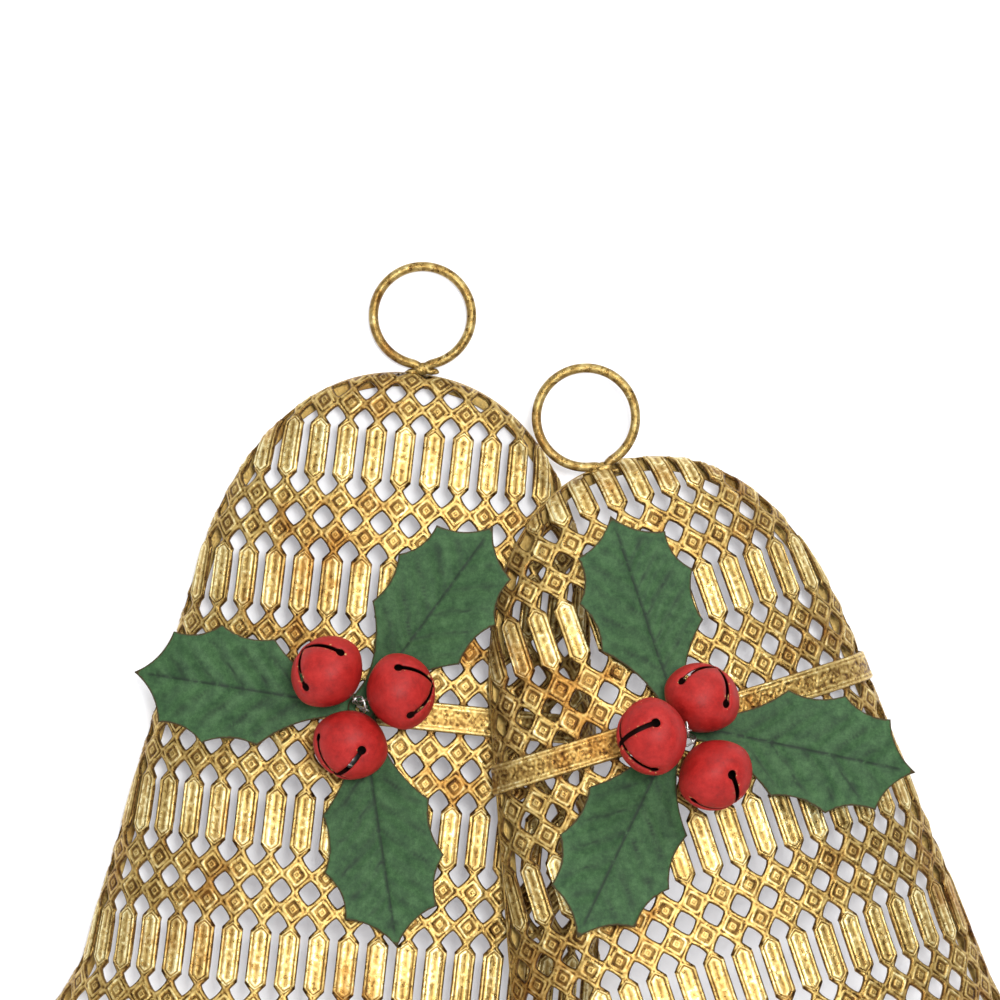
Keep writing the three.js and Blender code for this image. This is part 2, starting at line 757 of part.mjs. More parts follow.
// A clapper swings from an eye whose shank is fixed to the back of the shell.
function addClapper(side, dome, bell) {
  const h = dome.height - EYE_DROP;
  const at = bell.localToWorld(new THREE.Vector3(0, -dome.depth(h) + SHEET + EYE_BEHIND, -h));

  const eyeLoop = new THREE.TorusGeometry(EYE_RADIUS, EYE_WIRE, 6, 12);
  eyeLoop.rotateY(Math.PI / 2);
  const reach = EYE_BEHIND - EYE_RADIUS - 3 * GAP;
  const shank = new THREE.CylinderGeometry(EYE_WIRE, EYE_WIRE, reach, 6);
  shank.translate(0, -EYE_RADIUS - reach / 2, 0);
  piece(root, `${side}_clapper_eye`, join(eyeLoop, shank), darkGold()).position.copy(at);

  const wireLoop = new THREE.TorusGeometry(EYE_RADIUS, CLAPPER_WIRE, 6, 12);
  wireLoop.rotateX(Math.PI / 2);
  const hang = 2 * EYE_RADIUS - EYE_WIRE - CLAPPER_WIRE - GAP;
  const rod = new THREE.CylinderGeometry(EYE_WIRE, EYE_WIRE, CLAPPER_SHANK, 6);
  rod.rotateX(Math.PI / 2);
  rod.translate(0, 0, -EYE_RADIUS - CLAPPER_SHANK / 2);
  const wire = piece(root, `${side}_clapper_wire`, join(wireLoop, rod), darkGold());
  wire.position.copy(at).add(new THREE.Vector3(0, 0, -hang));

  const ball = new THREE.SphereGeometry(CLAPPER_RADIUS, 12, 8);
  const below = EYE_RADIUS + CLAPPER_SHANK + GAP + CLAPPER_RADIUS;
  piece(root, `${side}_clapper_ball`, ball, gold()).position
    .copy(wire.position).add(new THREE.Vector3(0, 0, -below));
}

function addBell(side, spec) {
  const dome = new Dome(spec);
  const bell = new THREE.Group();
  bell.position.set(...spec.top);
  bell.rotation.set(degrees(spec.pitch), degrees(spec.tilt), degrees(spec.yaw), "YXZ");
  root.add(bell);
  bell.updateMatrixWorld(true);

  piece(bell, `${side}_shell`, shell(dome), gold());
  piece(bell, `${side}_rim_strip`, rimStrip(dome), darkGold());
  const waistBand = band(dome, dome.waistRow(), WAIST_BAND_WIDTH, BAND_GAP, true);
  piece(bell, `${side}_waist_band`, waistBand, gold());
  const mouthMiddle = dome.length - MOUTH_BAND_WIDTH / 2 - MOUTH_EDGE;
  const mouthBand = band(dome, mouthMiddle, MOUTH_BAND_WIDTH, 2 * BAND_GAP, false);
  piece(bell, `${side}_mouth_band`, mouthBand, gold());

  const [x, y, z = -ringInside] = spec.ringCentre;
  piece(root, `${side}_ring`, ring(spec.ringFoot), gold()).position.set(x, y, z);

  addCluster(side, spec, dome, bell);
  addClapper(side, dome, bell);
}

for (const [side, spec] of Object.entries(BELLS)) addBell(side, spec);

export default root;
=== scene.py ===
"""Looks of the christmas bell ornament: two openwork half-relief bells with holly leaves and jingle bells.

Shapes are worked out in millimetres in the part's own frame and become metres in add_mesh().
"""
import json
import math

import bpy
import numpy as np
from mathutils import Matrix, Vector, noise
from mathutils.geometry import delaunay_2d_cdt


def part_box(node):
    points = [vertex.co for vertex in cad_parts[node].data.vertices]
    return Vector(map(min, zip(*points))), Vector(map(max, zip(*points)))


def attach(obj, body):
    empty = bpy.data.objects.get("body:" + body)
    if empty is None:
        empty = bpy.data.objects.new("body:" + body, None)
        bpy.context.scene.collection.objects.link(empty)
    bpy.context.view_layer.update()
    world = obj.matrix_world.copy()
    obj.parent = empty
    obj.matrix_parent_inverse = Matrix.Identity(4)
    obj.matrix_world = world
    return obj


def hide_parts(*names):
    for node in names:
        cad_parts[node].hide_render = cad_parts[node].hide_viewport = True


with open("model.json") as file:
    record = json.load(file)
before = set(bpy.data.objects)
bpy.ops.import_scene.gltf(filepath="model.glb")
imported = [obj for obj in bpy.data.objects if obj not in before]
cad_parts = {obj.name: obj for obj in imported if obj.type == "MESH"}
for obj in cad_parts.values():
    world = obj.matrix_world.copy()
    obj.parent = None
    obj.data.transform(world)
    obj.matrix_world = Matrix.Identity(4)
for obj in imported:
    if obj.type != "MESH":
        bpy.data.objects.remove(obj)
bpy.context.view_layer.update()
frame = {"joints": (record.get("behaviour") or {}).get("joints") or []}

MM = 0.001
ROOT = "ornament"
SIDES = ("left", "right")
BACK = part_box("left_rim_strip")[1].y / MM

# ---- driving dimensions, in millimetres

BELL_HEIGHT = 244
CAP_HALF_WIDTH = 56.6
CAP_HEIGHT = 80
CAP_POWER = 2.3
FLANK_SLOPE = 0.157
LIP_HEIGHT = 34
LIP_FLARE = 13

SHEET = 0.9
GAP = 0.3
COLUMN_STEP = 10
LONG_STEP = 23.5
SHORT_STEP = 11.4

# Piercings: a diamond, and a dumbbell of two bulbs joined by a slot
DIAMOND = (3.65, 4.0)
DUMBBELL_HALF_HEIGHT = 16
BULB = (3.55, 4.15)
BULB_TAPER = 0.85
SLOT_HALF_WIDTH = 1.37
ROUNDNESS = 1.25

# Embossing: a raised bar between two slots, a raised square between four holes, a ridge round each hole
BAR_HALF_WIDTH = 3.45
BAR_STRAIGHT = 8.1
BAR_END = 3
BAR_ROUNDNESS = 1.12
BAR_LEVELS = ((0, 0), (0.45, 0.55), (0.75, 0.5), (1.1, 0.1), (1.75, 0.62), (2.3, 0.58), (3.45, 0.2))
SQUARE_HALF_WIDTH = 4.15
SQUARE_ROUNDNESS = 1.12
SQUARE_LEVELS = ((0, 0), (0.6, 0.5), (1.15, 0.45), (1.6, 0.15), (2.5, 0.15), (3.0, 0.5), (3.6, 0.2),
                 (4.15, 0.45))
WEB_LEVELS = ((0, 0.03), (0.75, 0.42), (1.25, 0.3), (1.8, 0.03))
WEB_SPREAD = 0.75
RELIEF = 0.7

HEM = 1.6
HEM_DROP = 0.25
STRIP_WIDTH = 5
STRIP_THICKNESS = 1
STRIP_ROUNDING = 0.25

BAND_THICKNESS = 1.1
BAND_GAP = 0.45
WAIST_BAND_WIDTH = 10
MOUTH_BAND_WIDTH = 12
MOUTH_EDGE = 0.5
ROSETTE_PITCH = 7.4

RING_RADIUS = 17
RING_WIRE = 1.65
SOLDER_LUMPS = ((0, 0, (3.2, 1.7, 2.2)), (-3.1, 0.9, (2.6, 1.4, 1.1)), (3.1, 0.9, (2.6, 1.4, 1.1)))

LEAF_LENGTH = 76
LEAF_THICKNESS = 0.6
LEAF_SPACING = 1.1
LEAF_HOLE = 1.9
LEAF_FLAT = 8

JINGLE_RADIUS = 13
JINGLE_NOSE = 12.4
JINGLE_CROWN = 10.8
JINGLE_WALL = 0.7
SLIT_HALF_WIDTH = 0.95
SLIT_END = 1.7
LOOP_RADIUS = 1.15
LOOP_WIRE = 0.35
PELLET_RADIUS = 3
PELLET_DROP = 5.5

CLAPPER_UP = 9
CLAPPER_BEHIND = 7
EYE_RADIUS = 2.4
EYE_WIRE = 0.7
CLAPPER_RADIUS = 9
CLAPPER_LENGTH = 21.7

# The binding wire: half the gap between its legs, where they leave the leaves and turn to the loops, how far
# from the band's middle they go through the shell, and how far the wire runs past a loop or before it turns
BINDING_WIRE = 0.4
LEG_GAP = 0.75
LEG_REACH = 6
LEAD_REACH = 9.5
LEG_STRADDLE = 7
LOOP_REACH = 0.9
TURN_REACH = 2.85

D, B = "diamond", "dumbbell"
BELLS = {
    "left": {
        "scale": 1.0, "depth": (0.32, 0.14), "turn": 1.0,
        "top": (-0.8, BACK - 1.3, -35.6), "lean": (0, 7.25, 0),
        "first_column": 2.46, "first_row": 12.8,
        "rows": (D, B, D, B, D, D, D, D, B, D, B, D),
        "row_above_band": 5, "rows_above": 1,
        "ring_foot": 0, "cluster_column": -9.4, "lead_down": 0,
        "leaves": {"upper": (54, 2, -6, 1), "side": (170.5, 1, 8, 1.04), "lower": (-81.3, 0, 0, 1.075)},
        "spins": {"upper": 0, "side": 0, "lower": 23},
    },
    "right": {
        "scale": 0.95, "depth": (0.35, 0.13), "turn": 3.76,
        "top": (68.9, BACK - 13, -65.6), "lean": (-3.2, -13.03, 14),
        "first_column": -5.3, "first_row": 12.4,
        "rows": (B, D, B, D, D, D, D, B, D, B, D, B),
        "row_above_band": 4, "rows_above": 0,
        "ring_foot": 20, "cluster_column": -11.2, "lead_down": 3,
        "leaves": {"upper": (106.9, 2, 0, 0.97), "side": (-10.8, 1, 0, 1.08), "lower": (-116.8, 0, 0, 1.06)},
        "spins": {"upper": -5, "side": -20, "lower": 22},
    },
}


# ---- mesh helpers

def add_object(name, data):
    """A new object in the scene."""
    made = bpy.data.objects.new(name, data)
    bpy.context.scene.collection.objects.link(made)
    return made


def add_mesh(side, name, points, faces, look, stands_for, body=None, **attributes):
    """A piece of one bell, from points in millimetres. It stands for a piece of the frame, and rides on a
    body of its bell or on the ornament itself."""
    mesh = bpy.data.meshes.new(f"{side}_{name}")
    mesh.from_pydata((np.asarray(points, float) * MM).tolist(), [], [list(map(int, f)) for f in faces])
    for key, values in attributes.items():
        layer = mesh.attributes.new(key, "FLOAT", "POINT")
        layer.data.foreach_set("value", np.full(len(points), values, np.float32))
    material, slot = look
    mesh.materials.append(material)
    mesh.shade_smooth()
    piece = add_object(mesh.name, mesh)
    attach(piece, f"{side}_{body}" if body else ROOT)
    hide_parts(f"{side}_{stands_for}")


def close_sheet(triangles, count):
    """Faces of a closed sheet: the front triangles, the same behind (points + count), and the walls."""
    triangles = np.asarray(triangles, int)
    edges = np.concatenate([triangles[:, [0, 1]], triangles[:, [1, 2]], triangles[:, [2, 0]]])
    forward = edges[:, 0] * count + edges[:, 1]
    reverse = edges[:, 1] * count + edges[:, 0]
    rim = edges[~np.isin(forward, reverse)]
    walls = rows_of(rim[:, 1], rim[:, 0], rim[:, 0] + count, rim[:, 1] + count)
    behind = triangles[:, ::-1] + count
    return triangles.tolist() + behind.tolist() + walls.tolist()


def cut_sheet(points, edges, keep):
    """The points and counter-clockwise triangles of a flat sheet through the points and edges. The function
    keep says which triangles stay, by their middles."""
    out = delaunay_2d_cdt([Vector(p) for p in points], edges, [], 0, 1e-5)
    flat = np.array([(v.x, v.y) for v in out[0]])
    triangles = np.array([f for f in out[2]])
    a, b, c = (flat[triangles[:, k]] for k in range(3))
    turn = (b[:, 0] - a[:, 0]) * (c[:, 1] - a[:, 1]) - (b[:, 1] - a[:, 1]) * (c[:, 0] - a[:, 0])
    triangles[turn < 0] = triangles[turn < 0][:, ::-1]
    triangles = triangles[np.abs(turn) > 1e-9]
    triangles = triangles[keep(flat[triangles].mean(axis=1))]
    used, index = np.unique(triangles, return_inverse=True)
    return flat[used], index.reshape(triangles.shape)


def loop_edges(start, count, closed=True):
    """The edges that join count points, numbered from start, in a row."""
    last = count if closed else count - 1
    return [(start + i, start + (i + 1) % count) for i in range(last)]


def levels(table, value):
    """The height at a distance inside an embossed shape, read off its (distance, height) levels."""
    return np.interp(value, *zip(*table))


def rows_of(*values):
    """Points, one in each row, from the arrays of their coordinates."""
    return np.stack(values, axis=1)


def smooth(value):
    value = np.clip(value, 0, 1)
    return value * value * (3 - 2 * value)


def grain(points, pitch, seed=0):
    """Smooth noise from -1 to 1 at each flat or solid point, its features about pitch millimetres across."""
    offset = Vector((seed * 17.3, seed * 5.1, seed * 9.7))
    return np.array([noise.noise(Vector((*p, 0)[:3]) / pitch + offset) for p in points])


def line_distance(points, line, closed=True):
    """The distance of each flat point from a line, which may close on itself."""
    least = np.full(len(points), np.inf)
    for a, b in zip(line, np.roll(line, -1, axis=0) if closed else line[1:]):
        ab = b - a
        share = np.clip(((points - a) @ ab) / max(ab @ ab, 1e-9), 0, 1)
        least = np.minimum(least, np.hypot(*(points - a - share[:, None] * ab).T))
    return least


def tube_faces(rings, around, closed=False):
    """Faces of a tube of rings, with flat ends unless it closes on itself."""
    ring, k = np.indices((rings if closed else rings - 1, around)).reshape(2, -1)
    start = ring * around
    after = (ring + 1) % rings * around
    on = (k + 1) % around
    faces = rows_of(start + k, start + on, after + on, after + k).tolist()
    if not closed:
        last = (rings - 1) * around
        faces += [list(range(around))[::-1], list(range(last, last + around))]
    return faces


# ---- the bell's dome

class Dome:
    """The dome of one bell. A point of its flat sheet is (p, q): p across from the middle line, q down it."""

    def __init__(self, spec):
        self.spec = spec
        self.height = BELL_HEIGHT * spec["scale"]
        self.heights = self.height * np.linspace(0, 1, 801) ** 2
        steps = np.hypot(np.diff(self.heights), np.diff(self.depth(self.heights)))
        self.lengths = np.concatenate([[0], np.cumsum(steps)])
        self.length = self.lengths[-1]
        pitch, tilt, yaw = (math.radians(angle) for angle in spec["lean"])
        turn = Matrix.Rotation(tilt, 4, "Y") @ Matrix.Rotation(pitch, 4, "X") @ Matrix.Rotation(yaw, 4, "Z")
        self.place = np.array(Matrix.Translation(spec["top"]) @ turn)

    def half_width(self, h):
        """Half the width of the bell, h below its top."""
        g = np.asarray(h, float) / self.spec["scale"]
        cap = 1 - np.minimum(g / CAP_HEIGHT, 1)
        lip = np.maximum(0, (g - BELL_HEIGHT + LIP_HEIGHT) / LIP_HEIGHT)
        rounded = CAP_HALF_WIDTH * (1 - cap ** CAP_POWER) ** (1 / CAP_POWER)
        return self.spec["scale"] * (rounded + FLANK_SLOPE * g + LIP_FLARE * lip ** 2)

    def depth(self, h):
        at_top, gain = self.spec["depth"]
        return self.half_width(h) * (at_top + gain * np.asarray(h, float) / self.height)

    def drop(self, q):
        """How far down a point of the middle line is, for its length q along the line."""
        return np.interp(q, self.lengths, self.heights)

    def _steps(self, h, steps=90):
        """The lengths of equal angle steps round half the ellipse at each height, from the middle out."""
        t = (np.arange(steps) + 0.5) / steps * math.pi / 2
        across = self.half_width(h)[:, None] * np.cos(t)
        down = self.depth(h)[:, None] * np.sin(t)
        return np.hypot(across, down) * (math.pi / 2 / steps)

    def half_arc(self, q):
        """Half the length of the half ellipse at a length q down the middle line."""
        return self._steps(self.drop(np.atleast_1d(q))).sum(axis=1)

    def angle(self, h, p):
        steps = self._steps(h)
        ends = np.cumsum(steps, axis=1)
        reach = np.abs(p)
        index = np.minimum((ends < reach[:, None]).sum(axis=1), steps.shape[1] - 1)
        row = np.arange(len(h))
        share = (reach - ends[row, index]) / steps[row, index] + 1
        return np.sign(p) * np.minimum(index + share, steps.shape[1]) / steps.shape[1] * math.pi / 2

    def normal(self, x, y, h, step=0.02):
        w = self.half_width(h)
        d = self.depth(h)
        low = np.maximum(h - step, 0.001)
        high = h + step
        slope_w = (self.half_width(high) - self.half_width(low)) / (high - low)
        slope_d = (self.depth(high) - self.depth(low)) / (high - low)
        up = x * x * slope_w / w ** 3 + y * y * slope_d / d ** 3
        out = rows_of(x / w ** 2, y / d ** 2, up)
        return out / np.linalg.norm(out, axis=1, keepdims=True)

    def point(self, p, q, raised=0):
        """Points (p, q) of the sheet in the part's frame, raised above the dome's face."""
        p = np.atleast_1d(np.asarray(p, float))
        h = np.maximum(self.drop(np.atleast_1d(q)), 0.02)
        t = self.angle(h, p)
        x = self.half_width(h) * np.sin(t)
        y = -self.depth(h) * np.cos(t)
        local = rows_of(x, y, -h) + self.normal(x, y, h) * np.reshape(raised, (-1, 1))
        return local @ self.place[:3, :3].T + self.place[:3, 3]

    def to_sheet(self, across, down, way=1):
        """Points of the pattern, which is laid on the sheet with a small turn."""
        turn = way * math.radians(self.spec["turn"])
        cos, sin = math.cos(turn), math.sin(turn)
        return across * cos + down * sin, down * cos - across * sin

    def to_pattern(self, p, q):
        return self.to_sheet(p, q, -1)

    def side_line(self, steps):
        """One side of the flat sheet's outline, from the top to the mouth."""
        q = self.length * (np.arange(1, steps + 1) / steps) ** 1.5
        return rows_of(self.half_arc(q), q)

    def row_heights(self):
        """Where each row of the pattern lies, down the pattern."""
        heights = [self.spec["first_row"]]
        rows = self.spec["rows"]
        for before, row in zip(rows, rows[1:]):
            heights.append(heights[-1] + (SHORT_STEP if before == row == D else LONG_STEP))
        return heights

    def waist_row(self):
        rows = self.row_heights()
        above = self.spec["row_above_band"]
        return (rows[above] + rows[above + 1]) / 2

    def at_cluster(self, down, raised):
        """A point above or below the middle of the cluster, raised above the dome's face."""
        across = self.spec["first_column"] + self.spec["cluster_column"]
        return self.point(*self.to_sheet(across, self.waist_row() + down), raised)[0]


# ---- the pattern of the sheet

def nearest_column(across, first):
    """How far each point is across from the nearest column, and that column's number."""
    column = np.round((across - first) / COLUMN_STEP)
    return across - first - column * COLUMN_STEP, column


def diamond_reach(across, down, size, power):
    """The half width of the diamond, of the given proportions, that passes through each point."""
    return (np.abs(across) ** power + np.abs(down * size[0] / size[1]) ** power) ** (1 / power)


def bar_reach(across, down):
    """The half width of the bar-shaped outline that passes through each point."""
    past = np.maximum(np.abs(down) - BAR_STRAIGHT, 0) * BAR_HALF_WIDTH / BAR_END
    return (np.abs(across) ** BAR_ROUNDNESS + past ** BAR_ROUNDNESS) ** (1 / BAR_ROUNDNESS)


def dumbbell_half_width(down):
    """Half the width of the dumbbell at a height from its middle."""
    from_end = DUMBBELL_HALF_HEIGHT - np.abs(down)
    share = np.clip(1 - from_end / BULB[1], 0, 1)
    cap = BULB[0] * (1 - share ** ROUNDNESS) ** (1 / ROUNDNESS)
    taper = BULB[0] - BULB_TAPER * np.maximum(from_end - BULB[1] - 0.3, 0)
    return np.maximum(np.minimum(cap, taper), np.where(from_end > BULB[1], SLOT_HALF_WIDTH, 0))


class Pattern:
    """The rows of piercings and embossing of one bell."""

    def __init__(self, dome):
        self.dome = dome
        spec = dome.spec
        rows = list(zip(spec["rows"], dome.row_heights()))
        for _ in range(spec["rows_above"]):
            rows.insert(0, (D, rows[0][1] - SHORT_STEP))
        self.rows = rows
        self.first = spec["first_column"]
        bulb = DUMBBELL_HALF_HEIGHT - BULB[1]
        lines = []
        for kind, down in rows:
            lines += [down] if kind == D else [down - bulb, down + bulb]
        self.bars = [down for kind, down in rows if kind == B]
        middles = [(a + b) / 2 for a, b in zip(lines, lines[1:]) if b - a < 2 * SHORT_STEP - 5]
        middles = [lines[0] - SHORT_STEP / 2] + middles + [lines[-1] + SHORT_STEP / 2]
        waist = dome.waist_row()
        self.squares = [m for m in middles if abs(m - waist) > 2]
        self.holes = lines
        self.square_size = (SQUARE_HALF_WIDTH, SQUARE_HALF_WIDTH * 1.1)
        self.tilts = np.random.default_rng(11).uniform(-1, 1, (len(rows) * 3, 80, 3))

    def is_hole(self, across, down):
        """True where a point falls in a piercing."""
        du, _ = nearest_column(across, self.first)
        found = np.zeros(len(across), bool)
        for kind, middle in self.rows:
            dv = down - middle
            if kind == D:
                found |= diamond_reach(du, dv, DIAMOND, ROUNDNESS) < DIAMOND[0]
            else:
                found |= (np.abs(dv) < DUMBBELL_HALF_HEIGHT) & (np.abs(du) < dumbbell_half_width(dv))
        return found

    def height(self, across, down):
        """How far each point stands above the sheet."""
        height = np.zeros(len(across))
        du, _ = nearest_column(across, self.first)
        for middle in self.holes:
            reach = diamond_reach(du, down - middle, DIAMOND, ROUNDNESS) - DIAMOND[0]
            web = levels(WEB_LEVELS, np.maximum(reach, 0) * WEB_SPREAD)
            height = np.maximum(height, np.where(reach < 0, 0, web))
        du, column = nearest_column(across, self.first + COLUMN_STEP / 2)
        shapes = [(m, SQUARE_HALF_WIDTH, SQUARE_LEVELS, self._square) for m in self.squares]
        shapes += [(m, BAR_HALF_WIDTH, BAR_LEVELS, bar_reach) for m in self.bars]
        for row, (middle, half_width, table, reach_of) in enumerate(shapes):
            dv = down - middle
            inside = half_width - reach_of(du, dv)
            across_tilt, down_tilt, lift = self.tilts[row, column.astype(int) % 80].T
            lean = (across_tilt * du * 0.05 + down_tilt * dv * 0.012 + lift * 0.05) * smooth(inside / 0.6)
            height = np.where(inside > 0, levels(table, inside) + lean, height)
        return height

    def _square(self, across, down):
        return diamond_reach(across, down, self.square_size, SQUARE_ROUNDNESS)

    def loops(self):
        """The outlines that the sheet is triangulated along, as arrays of (across, down) points."""
        diamond = self._round(DIAMOND, DIAMOND[0], ROUNDNESS, 16)
        crest = self._round(DIAMOND, DIAMOND[0] + WEB_LEVELS[1][0] / WEB_SPREAD, ROUNDNESS, 16)
        shapes = [(diamond if kind == D else dumbbell_outline(), middle) for kind, middle in self.rows]
        shapes += [(crest, middle) for middle in self.holes]
        columns = self.first + np.arange(-14, 15) * COLUMN_STEP
        found = [shape + (across, middle) for shape, middle in shapes for across in columns]
        for across in self.first + (np.arange(-14, 15) + 0.5) * COLUMN_STEP:
            for middle in self.squares:
                for inside, _ in SQUARE_LEVELS[:-1]:
                    reach = SQUARE_HALF_WIDTH - inside
                    count = 20 if reach > 2 else 12
                    square = self._round(self.square_size, reach, SQUARE_ROUNDNESS, count)
                    found.append(square + (across, middle))
                found.append(np.array([[across, middle]]))
            for middle in self.bars:
                for inside, _ in BAR_LEVELS[:-1]:
                    found.append(bar_outline(BAR_HALF_WIDTH - inside) + (across, middle))
                line = np.linspace(-BAR_STRAIGHT, BAR_STRAIGHT, 7)
                found += [np.array([[across, middle + v]]) for v in line]
        return found

    @staticmethod
    def _round(size, reach, power, count):
        """A diamond-like outline of the given half width."""
        t = np.arange(count) / count * 2 * math.pi
        across = np.sign(np.cos(t)) * np.abs(np.cos(t)) ** (2 / power)
        down = np.sign(np.sin(t)) * np.abs(np.sin(t)) ** (2 / power)
        return rows_of(across * reach, down * reach * size[1] / size[0])


def bar_outline(half_width):
    """A bar with pointed round ends."""
    end = half_width * BAR_END / BAR_HALF_WIDTH
    t = np.linspace(0, math.pi, 11)
    across = np.sign(np.cos(t)) * np.abs(np.cos(t)) ** (2 / BAR_ROUNDNESS) * half_width
    down = BAR_STRAIGHT + end * np.abs(np.sin(t)) ** (2 / BAR_ROUNDNESS)
    top = rows_of(across, down)
    side = np.linspace(BAR_STRAIGHT, -BAR_STRAIGHT, 6)[1:-1]
    left = rows_of(np.full(4, -half_width), side)
    return np.concatenate([top, left, -top, -left])


def dumbbell_outline():
    """The outline of the dumbbell, down its right side and up its left."""
    high = DUMBBELL_HALF_HEIGHT
    cap = high - BULB[1] * (1 - np.cos(np.linspace(0, math.pi / 2, 8)))
    corner = high - BULB[1] - 0.3 - (BULB[0] - SLOT_HALF_WIDTH) / BULB_TAPER
    taper = np.linspace(high - BULB[1] - 0.3, corner, 5)
    half = np.concatenate([cap, taper, [corner - 2, corner - 4, 1.3]])
    down = np.concatenate([half, -half[::-1]])
    across = dumbbell_half_width(down)
    across[[0, -1]] = 0
    right = rows_of(across, down)
    return np.concatenate([right, (right * (-1, 1))[1:-1][::-1]])


# ---- shells, strips and bands

def distance_to_sides(dome, points):
    """How far each point of the flat sheet is inside the outline's sides."""
    line = np.concatenate([[[0, 0]], dome.side_line(260)])
    return line_distance(rows_of(np.abs(points[:, 0]), points[:, 1]), line, closed=False)


def build_shell(side, dome):
    """The pierced and embossed sheet."""
    pattern = Pattern(dome)
    points, edges = [], []

    def add(loop, closed=True):
        edges.extend(loop_edges(len(points), len(loop), closed) if len(loop) > 1 else [])
        points.extend(map(tuple, loop))

    right = dome.side_line(200)
    half = right[-1, 0]
    lip = np.linspace(half, -half, 90)[1:-1]
    add(np.concatenate([[[0, 0]], right, rows_of(lip, dome.length + 0 * lip), (right * (-1, 1))[::-1]]))
    along = np.gradient(right, axis=0)[20:]
    inset = right[20:] - along[:, ::-1] * (1, -1) / np.linalg.norm(along, axis=1, keepdims=True) * HEM
    add(inset, closed=False)
    add(inset * (-1, 1), closed=False)
    reach = dome.half_arc(np.clip(np.linspace(0, dome.length, 60), 0.5, None)).max()
    for loop in pattern.loops():
        p, q = dome.to_sheet(loop[:, 0], loop[:, 1])
        if q.max() < 0 or q.min() > dome.length or np.abs(p).min() > reach:
            continue
        if np.abs(p).min() > dome.half_arc(np.clip([q.mean() + 12], 0, dome.length))[0] + 2:
            continue
        add(rows_of(p, q))

    def keep(at):
        within = (at[:, 1] > 0) & (at[:, 1] < dome.length)
        within &= np.abs(at[:, 0]) < dome.half_arc(np.clip(at[:, 1], 0, dome.length))
        plain = (distance_to_sides(dome, at) <= HEM) | (at[:, 1] > dome.length - MOUTH_BAND_WIDTH)
        return within & (plain | ~pattern.is_hole(*dome.to_pattern(*at.T)))

    flat, triangles = cut_sheet(points, edges, keep)
    across, down = dome.to_pattern(*flat.T)
    height = pattern.height(across, down)
    waist = dome.waist_row()
    near_band = np.minimum(np.abs(down - waist) - WAIST_BAND_WIDTH / 2,
                           dome.length - MOUTH_BAND_WIDTH - MOUTH_EDGE - flat[:, 1])
    height = np.where(near_band < 0.8, np.minimum(height, 0.15), height)
    edge = smooth(distance_to_sides(dome, flat) / HEM)
    relief = height * edge
    raised = relief - HEM_DROP * (1 - edge)
    raised = raised + 0.12 * grain(flat, 16, seed=3) * smooth(near_band)
    front = dome.point(flat[:, 0], flat[:, 1], raised)
    back = dome.point(flat[:, 0], flat[:, 1], raised - SHEET + 0.25 * relief)
    faces = close_sheet(triangles, len(flat))
    face = relief * edge + 0.75 * RELIEF * (1 - edge)
    tone = np.concatenate([face, 0.5 * RELIEF - relief]) / RELIEF
    add_mesh(side, "shell_sheet", np.concatenate([front, back]), faces, GOLD, "shell", relief=tone)


def build_rim_strip(side, dome):
    """The flat strip behind the shell's edge, with rounded edges."""
    h = dome.height * np.linspace(0, 1, 120) ** 1.8
    right = rows_of(dome.half_width(np.maximum(h, 0.01)), -h)
    right[0, 0] = 0
    line = np.concatenate([(right * (-1, 1))[:0:-1], right])
    along = np.gradient(line, axis=0)
    along /= np.linalg.norm(along, axis=1, keepdims=True)
    inward = rows_of(along[:, 1], -along[:, 0])
    r = STRIP_ROUNDING
    wide, thick = STRIP_WIDTH - r, STRIP_THICKNESS - r
    section = []
    for corner, (across, out) in enumerate([(r, r), (wide, r), (wide, thick), (r, thick)]):
        for step in range(3):
            angle = math.pi * (1 + corner / 2 + step / 4)
            section.append((across + r * math.cos(angle), out + r * math.sin(angle)))
    rings = []
    for at, inside in zip(line, inward):
        rings.append([(at[0] + inside[0] * a, 0.3 + o, max(at[1] + inside[1] * a, -dome.height))
                      for a, o in section])
    points = np.array(rings).reshape(-1, 3) @ dome.place[:3, :3].T + dome.place[:3, 3]
    points[:, 1] = np.minimum(points[:, 1], BACK + 0.1)
    add_mesh(side, "rim_backing", points, tube_faces(len(line), len(section)), DULL_GOLD,
             "rim_strip", relief=0.5)


def ridge(distance, width):
    """1 where the distance is 0, falling away smoothly over about the width."""
    return np.exp(-(distance / width) ** 2)


def floral(u, v, half):
    """The height of a band's relief, u along it and v across it: two border ridges and a row of rosettes."""
    off = np.abs(v)
    border = 0.5 * ridge(off - half + 0.7, 0.42) + 0.45 * ridge(off - half + 2.0, 0.35)
    du = (u / ROSETTE_PITCH - np.round(u / ROSETTE_PITCH)) * ROSETTE_PITCH
    r = np.hypot(du, v)
    petals = 0.5 + 0.5 * np.cos(6 * np.arctan2(v, du))
    rosette = 0.3 * ridge(r - 1.5, 0.6) * petals + 0.3 * ridge(r, 0.55)
    half_way = ROSETTE_PITCH / 2 - np.abs(du)
    buds = 0.3 * np.exp(-((off - 1.05) / 0.55) ** 2 - (half_way / 0.8) ** 2)
    return border + (rosette + buds) * smooth((half - 2.6 + 0.6 - off) / 0.6)


